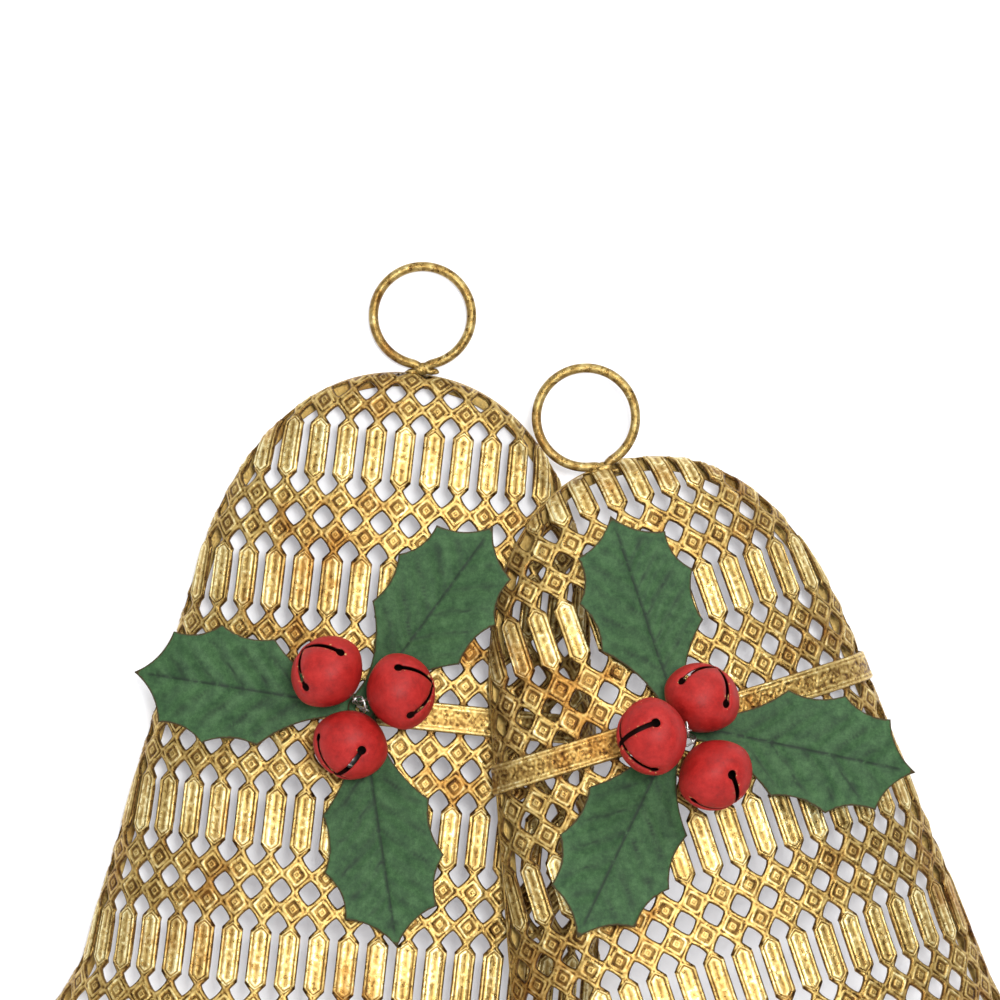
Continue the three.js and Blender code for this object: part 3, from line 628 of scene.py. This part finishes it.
def build_band(side, name, dome, middle, width, gap, turned):
    """An embossed band across the dome, from edge to edge."""
    def lay(u, v):
        return dome.to_sheet(u, middle + v) if turned else (u, middle + v)

    columns, rows = (900, 27)
    across_rows = []
    half = width / 2
    tries = np.linspace(0, 200, 801)
    even = np.linspace(-1, 1, columns)
    share = (even + np.sin(even * math.pi / 2)) / 2
    for v in np.linspace(-half, half, rows):
        reach = []
        for sign in (-1, 1):
            p, q = lay(sign * tries, v + 0 * tries)
            out = np.abs(p) > dome.half_arc(np.clip(q, 0, dome.length)) - 0.5
            reach.append(sign * tries[np.argmax(out)])
        u = reach[0] + (reach[1] - reach[0]) * (share + 1) / 2
        across_rows.append(rows_of(u, np.full(columns, v)))
    grid = np.concatenate(across_rows)
    u, v = grid.T
    p, q = lay(u, v)
    q = np.minimum(q, dome.length)
    pebble = 0.3 * grain(grid, 0.9, seed=5) + 0.2 * grain(grid, 2.1, seed=6)
    relief = floral(u, v, half) + pebble * smooth((half - 0.9 - np.abs(v)) / 0.6)
    edge = smooth((half - np.abs(v)) / 0.5)
    top = dome.point(p, q, gap + BAND_THICKNESS * (0.45 + 0.55 * edge) + 0.5 * relief - 0.25)
    under = dome.point(p, q, gap)
    index = np.arange(rows * columns).reshape(rows, columns)
    quads = np.stack([index[:-1, :-1], index[:-1, 1:], index[1:, 1:], index[1:, :-1]], axis=-1).reshape(-1, 4)
    triangles = np.concatenate([quads[:, [0, 1, 2]], quads[:, [0, 2, 3]]])
    faces = close_sheet(triangles if facing_out(top, triangles[0], under) else triangles[:, ::-1], len(top))
    add_mesh(side, f"{name}_strap", np.concatenate([top, under]), faces, GOLD, name,
             relief=np.concatenate([0.3 + relief, 0 * relief]))


def facing_out(top, triangle, under):
    """True where a triangle of the top faces away from the underside."""
    a, b, c = top[triangle]
    return np.dot(np.cross(b - a, c - a), a - under[triangle[0]]) > 0


# ---- swept wires and turned shapes

def unit(vector):
    vector = np.asarray(vector, float)
    return vector / np.linalg.norm(vector)


def sweep(path, radius, sides=12, closed=False):
    """Points and faces of a round wire along a path. The radius may change along the path."""
    path = np.asarray(path, float)
    radius = np.broadcast_to(radius, len(path))
    if closed:
        along = np.roll(path, -1, axis=0) - np.roll(path, 1, axis=0)
    else:
        along = np.gradient(path, axis=0)
    along /= np.linalg.norm(along, axis=1, keepdims=True)
    side = unit(np.cross(along[0], (0.3, 1, 0.2)))
    rings = []
    for at, direction, r in zip(path, along, radius):
        side = unit(side - direction * (side @ direction))
        up = np.cross(direction, side)
        for k in range(sides):
            turn = 2 * math.pi * k / sides
            rings.append(at + r * (math.cos(turn) * side + math.sin(turn) * up))
    return np.array(rings), tube_faces(len(path), sides, closed)


def torus(centre, axis, radius, wire, around=48, sides=12):
    """Points and faces of a round wire bent into a circle about an axis."""
    t = np.arange(around) / around * 2 * math.pi
    axis = unit(axis)
    first = unit(np.cross(axis, (0, 0, 1) if abs(axis[2]) < 0.9 else (1, 0, 0)))
    second = np.cross(axis, first)
    path = centre + radius * (np.cos(t)[:, None] * first + np.sin(t)[:, None] * second)
    return sweep(path, wire, sides, closed=True)


def ball(centre, radius, rings=24, around=36):
    """Points and faces of a ball."""
    points = [(0, 0, radius)]
    for i in range(1, rings):
        polar = math.pi * i / rings
        level = radius * math.sin(polar)
        for k in range(around):
            turn = 2 * math.pi * k / around
            points.append((level * math.cos(turn), level * math.sin(turn), radius * math.cos(polar)))
    points.append((0, 0, -radius))
    last = len(points) - 1
    faces = [(0, 1 + k, 1 + (k + 1) % around) for k in range(around)]
    faces += [(1 + a, 1 + d, 1 + c, 1 + b) for a, b, c, d in tube_faces(rings - 1, around)[:-2]]
    start = last - around
    faces += [(last, start + (k + 1) % around, start + k) for k in range(around)]
    return np.array(points) + centre, faces


def merge(*parts):
    """One list of points and one of faces from several."""
    points, faces = [], []
    for more_points, more_faces in parts:
        start = sum(len(p) for p in points)
        points.append(np.asarray(more_points, float))
        faces += [tuple(start + i for i in face) for face in more_faces]
    return np.concatenate(points), faces


def between(a, b, ta, tb, t):
    """The point at t on the line that is at a when t is ta, and at b when it is tb."""
    return ((tb - t) * a + (t - ta) * b) / (tb - ta)


def curve_through(knots, steps):
    """A smooth curve through points, with the pull of each point set by its distance from the next."""
    knots = np.asarray(knots, float)
    knots = np.concatenate([[2 * knots[0] - knots[1]], knots, [2 * knots[-1] - knots[-2]]])
    found = []
    for a, b, c, d in zip(knots, knots[1:], knots[2:], knots[3:]):
        t0, t1 = 0, np.linalg.norm(b - a) ** 0.5
        t2 = t1 + np.linalg.norm(c - b) ** 0.5
        t3 = t2 + np.linalg.norm(d - c) ** 0.5
        for t in np.linspace(t1, t2, steps, endpoint=False):
            bc = between(b, c, t1, t2, t)
            abc = between(between(a, b, t0, t1, t), bc, t0, t2, t)
            bcd = between(bc, between(c, d, t2, t3, t), t1, t3, t)
            found.append(between(abc, bcd, t1, t2, t))
    found.append(knots[-2])
    return np.array(found)


# ---- hanging rings

def build_ring(side, spec):
    """The hanging ring. Its two ends come together at the foot, in a lump of solder on the bell's top."""
    low, high = (np.array(v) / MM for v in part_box(f"{side}_ring"))
    centre = np.array([(low[0] + high[0]) / 2, (low[1] + high[1]) / 2, high[2] - RING_RADIUS - RING_WIRE])
    foot = math.radians(-90 + spec["ring_foot"])
    turn = np.linspace(0.06, 2 * math.pi - 0.06, 160)
    angle = foot + turn
    nearness = ridge(np.minimum(turn, 2 * math.pi - turn), 0.11)
    reach = RING_RADIUS + nearness * 1.2
    path = rows_of(reach * np.cos(angle), 0 * angle, reach * np.sin(angle)) + centre
    wire, faces = sweep(path, RING_WIRE - 0.2 * nearness, 16)
    at = centre + np.array([math.cos(foot), 0, math.sin(foot)]) * (RING_RADIUS + 1.5)
    lumps = []
    for across, down, size in SOLDER_LUMPS:
        lump, lump_faces = ball(np.zeros(3), 1, 20, 28)
        lump = lump * size * (1 + 0.25 * grain(lump, 0.7, seed=8)[:, None]) + at + (across, 0, -down)
        lumps.append((lump, lump_faces))
    points, faces = merge((wire, faces), *lumps)
    mottled_tone = 0.5 + 0.3 * grain(points, 2.2, seed=2)
    add_mesh(side, "hanging_ring", points, faces, WIRE_GOLD, "ring", relief=mottled_tone)


# ---- holly leaves

# Spikes of one side, from the tip to the base, and how far the edge between them draws in
LEAF_SPIKES = ((LEAF_LENGTH, 0), (65, 15.7), (49.5, 20.4), (31.5, 18.3), (9, 4.5))
LEAF_DRAW_IN = 2.108
LEAF_PITCH = 0.9
VEIN_STEP = 9.6
VEIN_SLOPE = 1.12


def leaf_outline(stretch):
    """The leaf's outline, with the edge drawn in between its spikes."""
    side = []
    for start, end in zip(np.array(LEAF_SPIKES, float), np.array(LEAF_SPIKES[1:], float)):
        edge = end - start
        inward = edge[::-1] * (-1, 1) / math.hypot(*edge)
        for t in np.linspace(0, 1, 14, endpoint=False):
            side.append(start + edge * t + inward * (4 * t * (1 - t) * LEAF_DRAW_IN))
    side = np.array(side)
    neck = LEAF_SPIKES[-1]
    t = np.linspace(math.pi / 2, 1.5 * math.pi, 15)
    base = rows_of(neck[1] * np.cos(t), neck[1] * np.sin(t))
    base = np.concatenate([[neck], base, [(neck[0], -neck[1])]])
    other = (side[1:] * (1, -1))[::-1]
    return np.concatenate([side, base, other]) * (stretch, 1)


def inside(points, line):
    """True where a point is inside a closed line."""
    within = np.zeros(len(points), bool)
    for (x0, y0), (x1, y1) in zip(line, np.roll(line, -1, axis=0)):
        if y0 == y1:
            continue
        crosses = (points[:, 1] < y0) != (points[:, 1] < y1)
        at = x0 + (points[:, 1] - y0) * (x1 - x0) / (y1 - y0)
        within ^= crosses & (points[:, 0] < at)
    return within


def build_leaf(side, name, shape, at, out):
    angle, layer, droop, stretch = shape
    length = LEAF_LENGTH * stretch
    line = leaf_outline(stretch)
    turn = np.arange(16) * math.pi / 8
    hole = LEAF_HOLE * rows_of(np.cos(turn), np.sin(turn))
    grid = np.stack(np.meshgrid(np.arange(-6, length, LEAF_PITCH), np.arange(-21, 21, LEAF_PITCH)), axis=-1)
    grid = grid.reshape(-1, 2)
    grid[:, 1] += 0.02
    grid = grid[inside(grid, line) & (np.hypot(*grid.T) > LEAF_HOLE + 0.5)]
    grid = grid[line_distance(grid, line) > LEAF_PITCH * 0.6]
    ribs = rows_of(np.linspace(9, length - 3, 90), np.zeros(90))
    points = np.concatenate([line, hole, grid[np.abs(grid[:, 1]) > 0.3], ribs])
    edges = loop_edges(0, len(line)) + loop_edges(len(line), len(hole))

    def keep(at):
        return inside(at, line) & (np.hypot(*at.T) > LEAF_HOLE - 0.05)

    flat, triangles = cut_sheet(points, edges, keep)
    x, y = flat.T
    margin = line_distance(flat, line)
    free = smooth((x - 10) / 14)
    seed = layer + (3 if side == "left" else 7)
    wobble = grain(flat, 6, seed=seed)
    ribs_at = x - np.abs(y) * VEIN_SLOPE + 0.012 * y * y + 1.3 * wobble
    step = VEIN_STEP * stretch
    from_vein = np.abs((ribs_at / step - np.round(ribs_at / step)) * step) / math.hypot(1, VEIN_SLOPE)
    reach = smooth((margin - 1.2) / 3) * smooth((x - 9) / 4)
    patchy = grain(flat, 3.5, seed=seed + 2)
    vein = ridge(from_vein, 0.45) * reach * np.clip(0.6 + 0.8 * wobble + 0.6 * patchy, 0, 1)
    shade = 0.65 * ridge(from_vein, 1.2) * reach * np.clip(0.45 + 1.3 * patchy, 0, 1)
    midrib = ridge(y, 0.5) * smooth((x - 7) / 3) * smooth((length - 3 - x) / 4)
    z = -droop * np.maximum(0, (x - LEAF_FLAT) / (length - LEAF_FLAT)) ** 2
    z = z + free * (0.5 * np.sqrt(y * y + 1) / 4 - 0.35 * midrib - 0.22 * vein)
    z = z + free * (0.35 * np.cos(from_vein / step * 2 * math.pi * 1.4) * smooth(margin / 6))
    z = z + free * 0.6 * grain(flat, 17, seed=seed + 1)
    z = z - free * 0.5 * np.exp(-margin / 1.6)

    heading = math.radians(angle)
    along = np.array([math.cos(heading), 0, math.sin(heading)])
    along = unit(along - out * (along @ out))
    across = np.cross(out, along)
    lowest = BAND_GAP + BAND_THICKNESS + 4 * GAP + 2 * BINDING_WIRE + LEAF_THICKNESS
    origin = at + out * (lowest + layer * LEAF_SPACING)
    front = origin + x[:, None] * along + y[:, None] * across + z[:, None] * out
    faces = close_sheet(triangles, len(flat))
    both = np.concatenate
    add_mesh(side, f"holly_leaf_{name}", both([front, front - out * LEAF_THICKNESS]), faces, GREEN,
             f"leaf_{name}", edge=np.tile(np.exp(-margin / 0.8), 2),
             vein=both([np.maximum(np.maximum(vein, shade), midrib), 0 * vein]))


# ---- jingle bells

JINGLE_LAST = math.radians(166)
SLIT_LENGTH = math.radians(70)


def jingle_surface(polar, turn, thinner):
    """Points of a jingle bell with its nose along +Y, at an angle from the nose and a turn about it."""
    forward_half = polar < math.pi / 2
    radius = JINGLE_RADIUS - 0.3 - thinner
    nose = (JINGLE_NOSE - thinner) * np.cos(polar)
    crown = (JINGLE_CROWN - thinner) * np.cos(polar)
    share = np.clip(np.abs(np.cos(polar)), 0, 1)
    power = 1.75
    round_out = radius * (1 - share ** power) ** (1 / power)
    across = np.where(forward_half, radius * np.sin(polar), round_out)
    bulge = 0.3 * np.abs(np.sin(2 * (turn - math.pi / 4))) * np.sin(polar) ** 2
    across = across + np.where(forward_half, bulge, bulge * np.maximum(0, 1 - share * 2))
    return rows_of(across * np.sin(turn), np.where(forward_half, nose, crown), across * np.cos(turn))


def slit_outline():
    """The crossed slits with their round ends, on a flat plan whose radius is the angle from the nose times
    the bell's radius."""
    end = SLIT_LENGTH * JINGLE_RADIUS
    opening = math.asin(SLIT_HALF_WIDTH / SLIT_END)
    arm = [(s, SLIT_HALF_WIDTH) for s in np.linspace(SLIT_HALF_WIDTH, end - SLIT_END * math.cos(opening), 12)]
    for t in np.linspace(math.pi - opening, opening - math.pi, 15)[1:-1]:
        arm.append((end + SLIT_END * math.cos(t), SLIT_END * math.sin(t)))
    arm += [(s, -t) for s, t in arm[:12][::-1]]
    arm = np.array(arm[:-1])
    stretch = np.maximum(arm[:, 0] / JINGLE_RADIUS, 1e-3)
    arm[:, 1] *= stretch / np.sin(stretch)
    loop = []
    for k in range(4):
        turn = -math.pi / 4 - k * math.pi / 2
        spin = np.array([[math.cos(turn), math.sin(turn)], [-math.sin(turn), math.cos(turn)]])
        loop.append(arm @ spin)
    return np.concatenate(loop)


def build_jingle(side, name, centre, nose, spin):
    slit = slit_outline()
    points = slit.tolist()
    edges = loop_edges(0, len(slit))
    plan_edge = JINGLE_LAST * JINGLE_RADIUS
    rings = 34
    for i in range(1, rings + 1):
        reach = plan_edge * i / rings
        real = JINGLE_RADIUS * math.sin(min(reach / JINGLE_RADIUS, math.pi))
        count = 20 if i == rings else max(10, int(2 * math.pi * real / 0.95))
        angles = np.arange(count) / count * 2 * math.pi + i
        ring = reach * rows_of(np.cos(angles), np.sin(angles))
        if i == rings:
            edges += loop_edges(len(points), count)
        else:
            ring = ring[line_distance(ring, slit) > 0.45]
        points += ring.tolist()
    flat, triangles = cut_sheet(points, edges, lambda at: ~inside(at, slit))
    polar = np.hypot(*flat.T) / JINGLE_RADIUS
    turn = np.arctan2(flat[:, 0], flat[:, 1])
    near = line_distance(flat, slit)

    tip = len(flat)
    last = np.where(polar > JINGLE_LAST - 1e-4)[0]
    last = last[np.argsort(turn[last])]
    fan = [(a, b, tip) for a, b in zip(last, np.roll(last, -1))]
    polar = np.append(polar, math.pi)
    turn = np.append(turn, 0)
    near = np.append(near, 20)
    sheet = np.concatenate([triangles, np.array(fan)])
    outer = jingle_surface(polar, turn, 0)
    curl = 0.22 * np.exp(-near / 0.5)
    outer -= outer / np.linalg.norm(outer, axis=1, keepdims=True) * curl[:, None]
    inner = jingle_surface(polar, turn, JINGLE_WALL)
    a, b, c = (outer[sheet[:, k]] for k in range(3))
    out = np.einsum("ij,ij->i", np.cross(b - a, c - a), a + b + c)
    sheet[out < 0] = sheet[out < 0][:, ::-1]
    faces = close_sheet(sheet, len(outer))

    front = unit(np.array([0, -1, 0]) + nose * nose[1])
    right = np.cross(nose, front)
    basis = np.stack([right, nose, front])
    roll = math.radians(spin)
    turned = np.array([[math.cos(roll), 0, -math.sin(roll)], [0, 1, 0], [math.sin(roll), 0, math.cos(roll)]])
    points = np.concatenate([outer, inner]) @ turned @ basis + centre
    chip = np.exp(-near / 0.35)
    # within marks the inner wall, which the red finish colours near black: painted shade in the bell's
    # hollow.
    add_mesh(side, f"jingle_bell_{name}", points, faces, RED, f"jingle_{name}",
             f"jingle_{name}", edge=np.tile(chip, 2), within=np.repeat([0, 1], len(chip)))


def build_cluster(side, spec, dome):
    """The leaves, the three jingle bells with their loops and pellets, and the wire that binds them."""
    at = dome.at_cluster(0, 0)
    out = dome.at_cluster(0, 1) - at
    for name, shape in spec["leaves"].items():
        build_leaf(side, name, shape, at, out)
    joints = {joint["name"]: joint for joint in frame["joints"]}
    loops = []
    for name, spin in spec["spins"].items():
        joint = joints[f"{side}_jingle_{name}_turn"]
        centre = np.array(joint["pos_m"]) / MM
        nose = unit(joint["axis"])
        build_jingle(side, name, centre, nose, spin)
        eye = centre - nose * (JINGLE_CROWN + LOOP_RADIUS + LOOP_WIRE + GAP)
        through = unit(np.cross(nose, (0, -1, 0)))
        loops.append((eye, through))
        add_mesh(side, f"crown_loop_{name}", *torus(eye, through, LOOP_RADIUS, LOOP_WIRE, 28, 10), STEEL,
                 f"jingle_loop_{name}", f"jingle_{name}")
        add_mesh(side, f"loose_pellet_{name}", *ball(centre - (0, 0, PELLET_DROP), PELLET_RADIUS), STEEL,
                 f"pellet_{name}", f"pellet_{name}")
    build_binding_wire(side, spec, dome, out, loops)


def build_binding_wire(side, spec, dome, out, loops):
    """The wire comes from behind through the hole above the band, goes through the three crown loops, and
    returns through the hole below the band."""
    sideways = unit(np.cross(out, (0, 0, 1)))
    over_band = BAND_GAP + BAND_THICKNESS + GAP + BINDING_WIRE
    behind = -SHEET - 2 * GAP - BINDING_WIRE

    knees = ((LEG_GAP, LEG_REACH), (2, over_band), (5.2, over_band), (LEG_STRADDLE, 0),
             (LEG_STRADDLE - 0.6, behind))

    def leg(way):
        found = [dome.at_cluster(way * LEG_GAP + spec["lead_down"], LEAD_REACH)]
        found += [dome.at_cluster(way * down, raised) for down, raised in knees]
        return found + [dome.at_cluster(way * -2.5, behind) + sideways * way * 2 * BINDING_WIRE]

    stops = ((0, -LOOP_REACH), (0, LOOP_REACH), (1, -LOOP_REACH), (1, TURN_REACH), (2, TURN_REACH),
             (2, -LOOP_REACH))
    middle = [loops[k][0] + loops[k][1] * reach for k, reach in stops]
    path = curve_through(leg(-1)[::-1] + middle + leg(1), 12)
    add_mesh(side, "binding_wire", *sweep(path, BINDING_WIRE, 10), STEEL, "cluster_wire")


def build_clapper(side, dome):
    """The eye behind the mouth band, and the wire and ball that swing from it."""
    h = dome.height - CLAPPER_UP
    local = np.array([0, float(-dome.depth(h)) + SHEET + CLAPPER_BEHIND, -h])
    at = dome.place[:3, :3] @ local + dome.place[:3, 3]
    shank = [at - (0, EYE_RADIUS + d, 0) for d in np.linspace(0, CLAPPER_BEHIND - EYE_RADIUS - SHEET, 4)]
    eye = merge(torus(at, (1, 0, 0), EYE_RADIUS, EYE_WIRE, 36), sweep(shank, EYE_WIRE, 12))
    add_mesh(side, "eye", *eye, DULL_GOLD, "clapper_eye", relief=0.4)
    hang = at - (0, 0, 3.2)
    rod = [hang - (0, 0, EYE_RADIUS + d) for d in np.linspace(0, 10, 6)]
    wire = merge(torus(hang, (0, 1, 0), EYE_RADIUS, 0.6, 36), sweep(rod, EYE_WIRE, 12))
    add_mesh(side, "clapper_hook", *wire, DULL_GOLD, "clapper_wire", "clapper", relief=0.4)
    weight = ball(hang - (0, 0, CLAPPER_LENGTH), CLAPPER_RADIUS, 36, 56)
    add_mesh(side, "clapper_weight", *weight, GOLD, "clapper_ball", "clapper",
             relief=0.5 + 0.3 * grain(weight[0], 4, seed=4))


# ---- materials

class Finish:
    """A material and its nodes, with short ways to make the usual ones."""

    def __init__(self, name, roughness, metallic=0.0, specular=0.5):
        self.material = bpy.data.materials.new(name)
        self.material.use_nodes = True
        self.tree = self.material.node_tree
        self.surface = self.tree.nodes["Principled BSDF"]
        self.set("Roughness", roughness)
        self.set("Metallic", metallic)
        self.set("Specular IOR Level", specular)
        self.place = self.tree.nodes.new("ShaderNodeTexCoord").outputs["Object"]

    def give(self, socket, value):
        """Sets a socket to a number or a colour, or joins it to another node's output."""
        if isinstance(value, bpy.types.NodeSocket):
            self.tree.links.new(value, socket)
        elif isinstance(value, tuple):
            socket.default_value = (*value, 1)
        elif value is not None:
            socket.default_value = value

    def node(self, kind, *inputs, **settings):
        """A new node with its first inputs set to values or joined to other nodes' outputs."""
        node = self.tree.nodes.new(kind)
        for key, value in settings.items():
            setattr(node, key, value)
        for socket, value in zip(node.inputs, inputs):
            self.give(socket, value)
        return node

    def set(self, name, value):
        self.give(self.surface.inputs[name], value)

    def noise(self, size, detail=3.0, rough=0.6):
        """Noise whose features are about size metres across, around 0.5."""
        return self.node("ShaderNodeTexNoise", self.place, None, 1 / size, detail, rough).outputs["Fac"]

    def value(self, operation, a, b, c=None, clamp=False):
        return self.node("ShaderNodeMath", a, b, c, operation=operation, use_clamp=clamp).outputs[0]

    def ramp(self, socket, *stops):
        """Colours by value. Each stop is (value, red, green, blue)."""
        node = self.node("ShaderNodeValToRGB", socket)
        elements = node.color_ramp.elements
        while len(elements) < len(stops):
            elements.new(1)
        for element, (at, *colour) in zip(elements, stops):
            element.position = at
            element.color = (*colour, 1)
        return node.outputs["Color"]

    def between(self, socket, low, high):
        """0 below low, 1 above high, and smooth between."""
        node = self.node("ShaderNodeMapRange", socket, low, high, 0.0, 1.0, interpolation_type="SMOOTHSTEP")
        return node.outputs["Result"]

    def mix(self, share, a, b, blend="MIX"):
        node = self.node("ShaderNodeMix", data_type="RGBA", blend_type=blend)
        for index, value in ((0, share), (6, a), (7, b)):
            self.give(node.inputs[index], value)
        return node.outputs[2]

    def attribute(self, name):
        return self.node("ShaderNodeAttribute", attribute_name=name).outputs["Fac"]

    def bump(self, height, distance, strength=1.0):
        node = self.node("ShaderNodeBump", strength, distance)
        self.give(node.inputs["Height"], height)
        self.set("Normal", node.outputs["Normal"])


CRYSTAL_SIZE = 0.0011


def gold(name, wear_and_glint, roughness, dim):
    """Antiqued gold: dark in hollows, pale on crests, with brown patches and a speckle of crystals that is
    partly painted glints.
    """
    m = Finish(name, roughness, 0.9)
    crystal = m.node("ShaderNodeTexVoronoi", m.place, None, 1 / CRYSTAL_SIZE).outputs["Color"]
    mottle = m.value("MULTIPLY_ADD", m.noise(0.0028, 5, 0.8), 1.8, -0.4)
    speckle = m.value("MULTIPLY_ADD", crystal, 0.5, m.value("MULTIPLY", mottle, 0.5))
    strength = m.value("MULTIPLY_ADD", m.attribute("relief"), 0.75 * wear_and_glint, 0.25 * wear_and_glint)
    # The crystal speckle moves the colour up and down the ramp: partly the finish's own grain, partly painted
    # glints.
    mottled_tone = m.value("MULTIPLY_ADD", m.value("SUBTRACT", speckle, 0.5), strength, m.attribute("relief"))
    colour = m.ramp(mottled_tone, (0.0, 0.05, 0.022, 0.005), (0.22, 0.2, 0.105, 0.024), (0.45, 0.46, 0.3, 0.085),
                    (0.8, 0.74, 0.56, 0.22), (1.0, 1.0, 0.9, 0.52))
    patch = m.between(m.value("MULTIPLY_ADD", m.noise(0.004, 4), 0.35, m.noise(0.03, 2)), 0.66, 0.9)
    colour = m.mix(patch, colour, m.mix(1.0, colour, (0.6, 0.42, 0.26), "MULTIPLY"))
    m.set("Base Color", m.mix(1.0, colour, (dim, dim, dim), "MULTIPLY"))
    m.set("Roughness", m.value("MULTIPLY_ADD", crystal, 0.2, roughness - 0.1))
    m.bump(speckle, 0.0005, 0.8)
    return m.material


def leaf_green():
    m = Finish("leaf green", 0.62, specular=0.2)
    streak = m.noise(0.005, 7, 0.85)
    colour = m.ramp(streak, (0.35, 0.013, 0.038, 0.014), (0.5, 0.028, 0.072, 0.025),
                    (0.65, 0.05, 0.115, 0.042))
    vein = m.value("MULTIPLY", m.attribute("vein"), m.between(m.noise(0.002, 3), 0.25, 0.5), clamp=True)
    colour = m.mix(vein, colour, (0.008, 0.018, 0.009))
    edge = m.between(m.value("MULTIPLY_ADD", m.noise(0.002, 4), 0.6, m.attribute("edge")), 0.8, 1.15)
    m.set("Base Color", m.mix(edge, colour, (0.05, 0.035, 0.014)))
    m.bump(m.noise(0.0011, 4), 0.0001, 0.5)
    return m.material


def jingle_red():
    m = Finish("jingle red", 0.42, specular=0.22)
    mottle = m.noise(0.004, 7, 0.85)
    colour = m.ramp(mottle, (0.35, 0.2, 0.007, 0.006), (0.5, 0.29, 0.01, 0.008), (0.65, 0.37, 0.017, 0.014))
    chip = m.value("MULTIPLY", m.attribute("edge"), m.between(m.noise(0.0016, 4), 0.6, 0.66), clamp=True)
    fleck = m.between(m.noise(0.0022, 5, 0.75), 0.70, 0.73)
    bare = m.value("MAXIMUM", chip, fleck)
    colour = m.mix(bare, colour, (0.55, 0.36, 0.13))
    # The inner wall is coloured near black: painted shade inside the bell.
    m.set("Base Color", m.mix(m.attribute("within"), colour, (0.03, 0.008, 0.006)))
    m.set("Roughness", m.value("MULTIPLY_ADD", mottle, 0.3, 0.38))
    m.bump(m.noise(0.0016, 4), 0.00012, 0.5)
    return m.material


def steel():
    m = Finish("bright wire", 0.3, 0.95)
    m.set("Base Color", (0.55, 0.54, 0.52))
    return m.material


def wall_white():
    """The white wall, partly lit from within so that shadows stay pale. Seen from behind it isn't there."""
    m = Finish("wall", 0.9, specular=0)
    m.set("Base Color", (0.75, 0.75, 0.75))
    m.set("Emission Color", (0.93, 0.93, 1.0))
    m.set("Emission Strength", 0.25)
    clear = m.node("ShaderNodeBsdfTransparent").outputs[0]
    behind = m.node("ShaderNodeNewGeometry").outputs["Backfacing"]
    mixed = m.node("ShaderNodeMixShader", behind, m.surface.outputs[0], clear).outputs[0]
    m.tree.links.new(mixed, m.tree.nodes["Material Output"].inputs["Surface"])
    return m.material


# ---- stage, lights and camera

MIDDLE = (0.03, 0, -0.15)
CAMERA = (0.02682, -1.5224, -0.07936)
LENS = 158.2


def plane(name, points, material):
    mesh = bpy.data.meshes.new(name)
    mesh.from_pydata([tuple(c * MM for c in p) for p in points], [], [(0, 1, 2, 3)])
    mesh.materials.append(material)
    add_object(name, mesh)


def area_light(name, at, size, power):
    """A lamp aimed at the middle of the ornament."""
    light = bpy.data.lights.new(name, "AREA")
    light.shape = "RECTANGLE"
    light.size, light.size_y = size
    light.energy = power
    lamp = add_object(name, light)
    lamp.location = at
    lamp.rotation_euler = (Vector(MIDDLE) - Vector(at)).to_track_quat("-Z", "Y").to_euler()


def build_stage():
    """The wall and the floor, the lights and the light of the surroundings."""
    wall, floor, far = BACK + 1, -900, 2500
    white = wall_white()
    plane("wall", ((-far, wall, floor), (far, wall, floor), (far, wall, far), (-far, wall, far)), white)
    plane("floor", ((-far, -far, floor), (far, -far, floor), (far, wall, floor), (-far, wall, floor)), white)
    area_light("key", (0.19, -1.52, 0.06), (0.25, 0.25), 18)
    area_light("side", (0.75, -1.1, 0.75), (0.4, 0.4), 9)
    area_light("fill", (-1.1, -1.3, 0.2), (0.6, 0.6), 6)
    area_light("top", (0.0, -0.75, 1.2), (0.7, 0.35), 6)
    world = bpy.data.worlds.new("surroundings")
    world.use_nodes = True
    background = world.node_tree.nodes["Background"]
    background.inputs["Color"].default_value = (0.9, 0.92, 0.95, 1)
    background.inputs["Strength"].default_value = 0.32
    bpy.context.scene.world = world
    bpy.context.scene.view_settings.view_transform = "Standard"


def build_camera():
    """Far in front of the bells, and aimed straight at the wall."""
    data = bpy.data.cameras.new("camera")
    data.lens = LENS
    data.sensor_width = 36
    camera = add_object("camera", data)
    camera.location = CAMERA
    camera.rotation_euler = (math.pi / 2, 0, 0)
    bpy.context.scene.camera = camera


# ---- the whole ornament

GOLD = (gold("antique gold", 1.15, 0.33, 0.88), "antique_gold")
WIRE_GOLD = (gold("antique gold wire", 1.6, 0.33, 0.62), "antique_gold")
DULL_GOLD = (gold("dull gold", 0.6, 0.45, 0.75), "dark_gold")
GREEN = (leaf_green(), "holly_green")
RED = (jingle_red(), "jingle_red")
STEEL = (steel(), "bright_wire")

for side in SIDES:
    spec = BELLS[side]
    dome = Dome(spec)
    build_shell(side, dome)
    build_rim_strip(side, dome)
    build_band(side, "waist_band", dome, dome.waist_row(), WAIST_BAND_WIDTH, BAND_GAP, True)
    mouth = dome.length - MOUTH_BAND_WIDTH / 2 - MOUTH_EDGE
    build_band(side, "mouth_band", dome, mouth, MOUTH_BAND_WIDTH, 2 * BAND_GAP, False)
    build_ring(side, spec)
    build_cluster(side, spec, dome)
    build_clapper(side, dome)

build_stage()
build_camera()
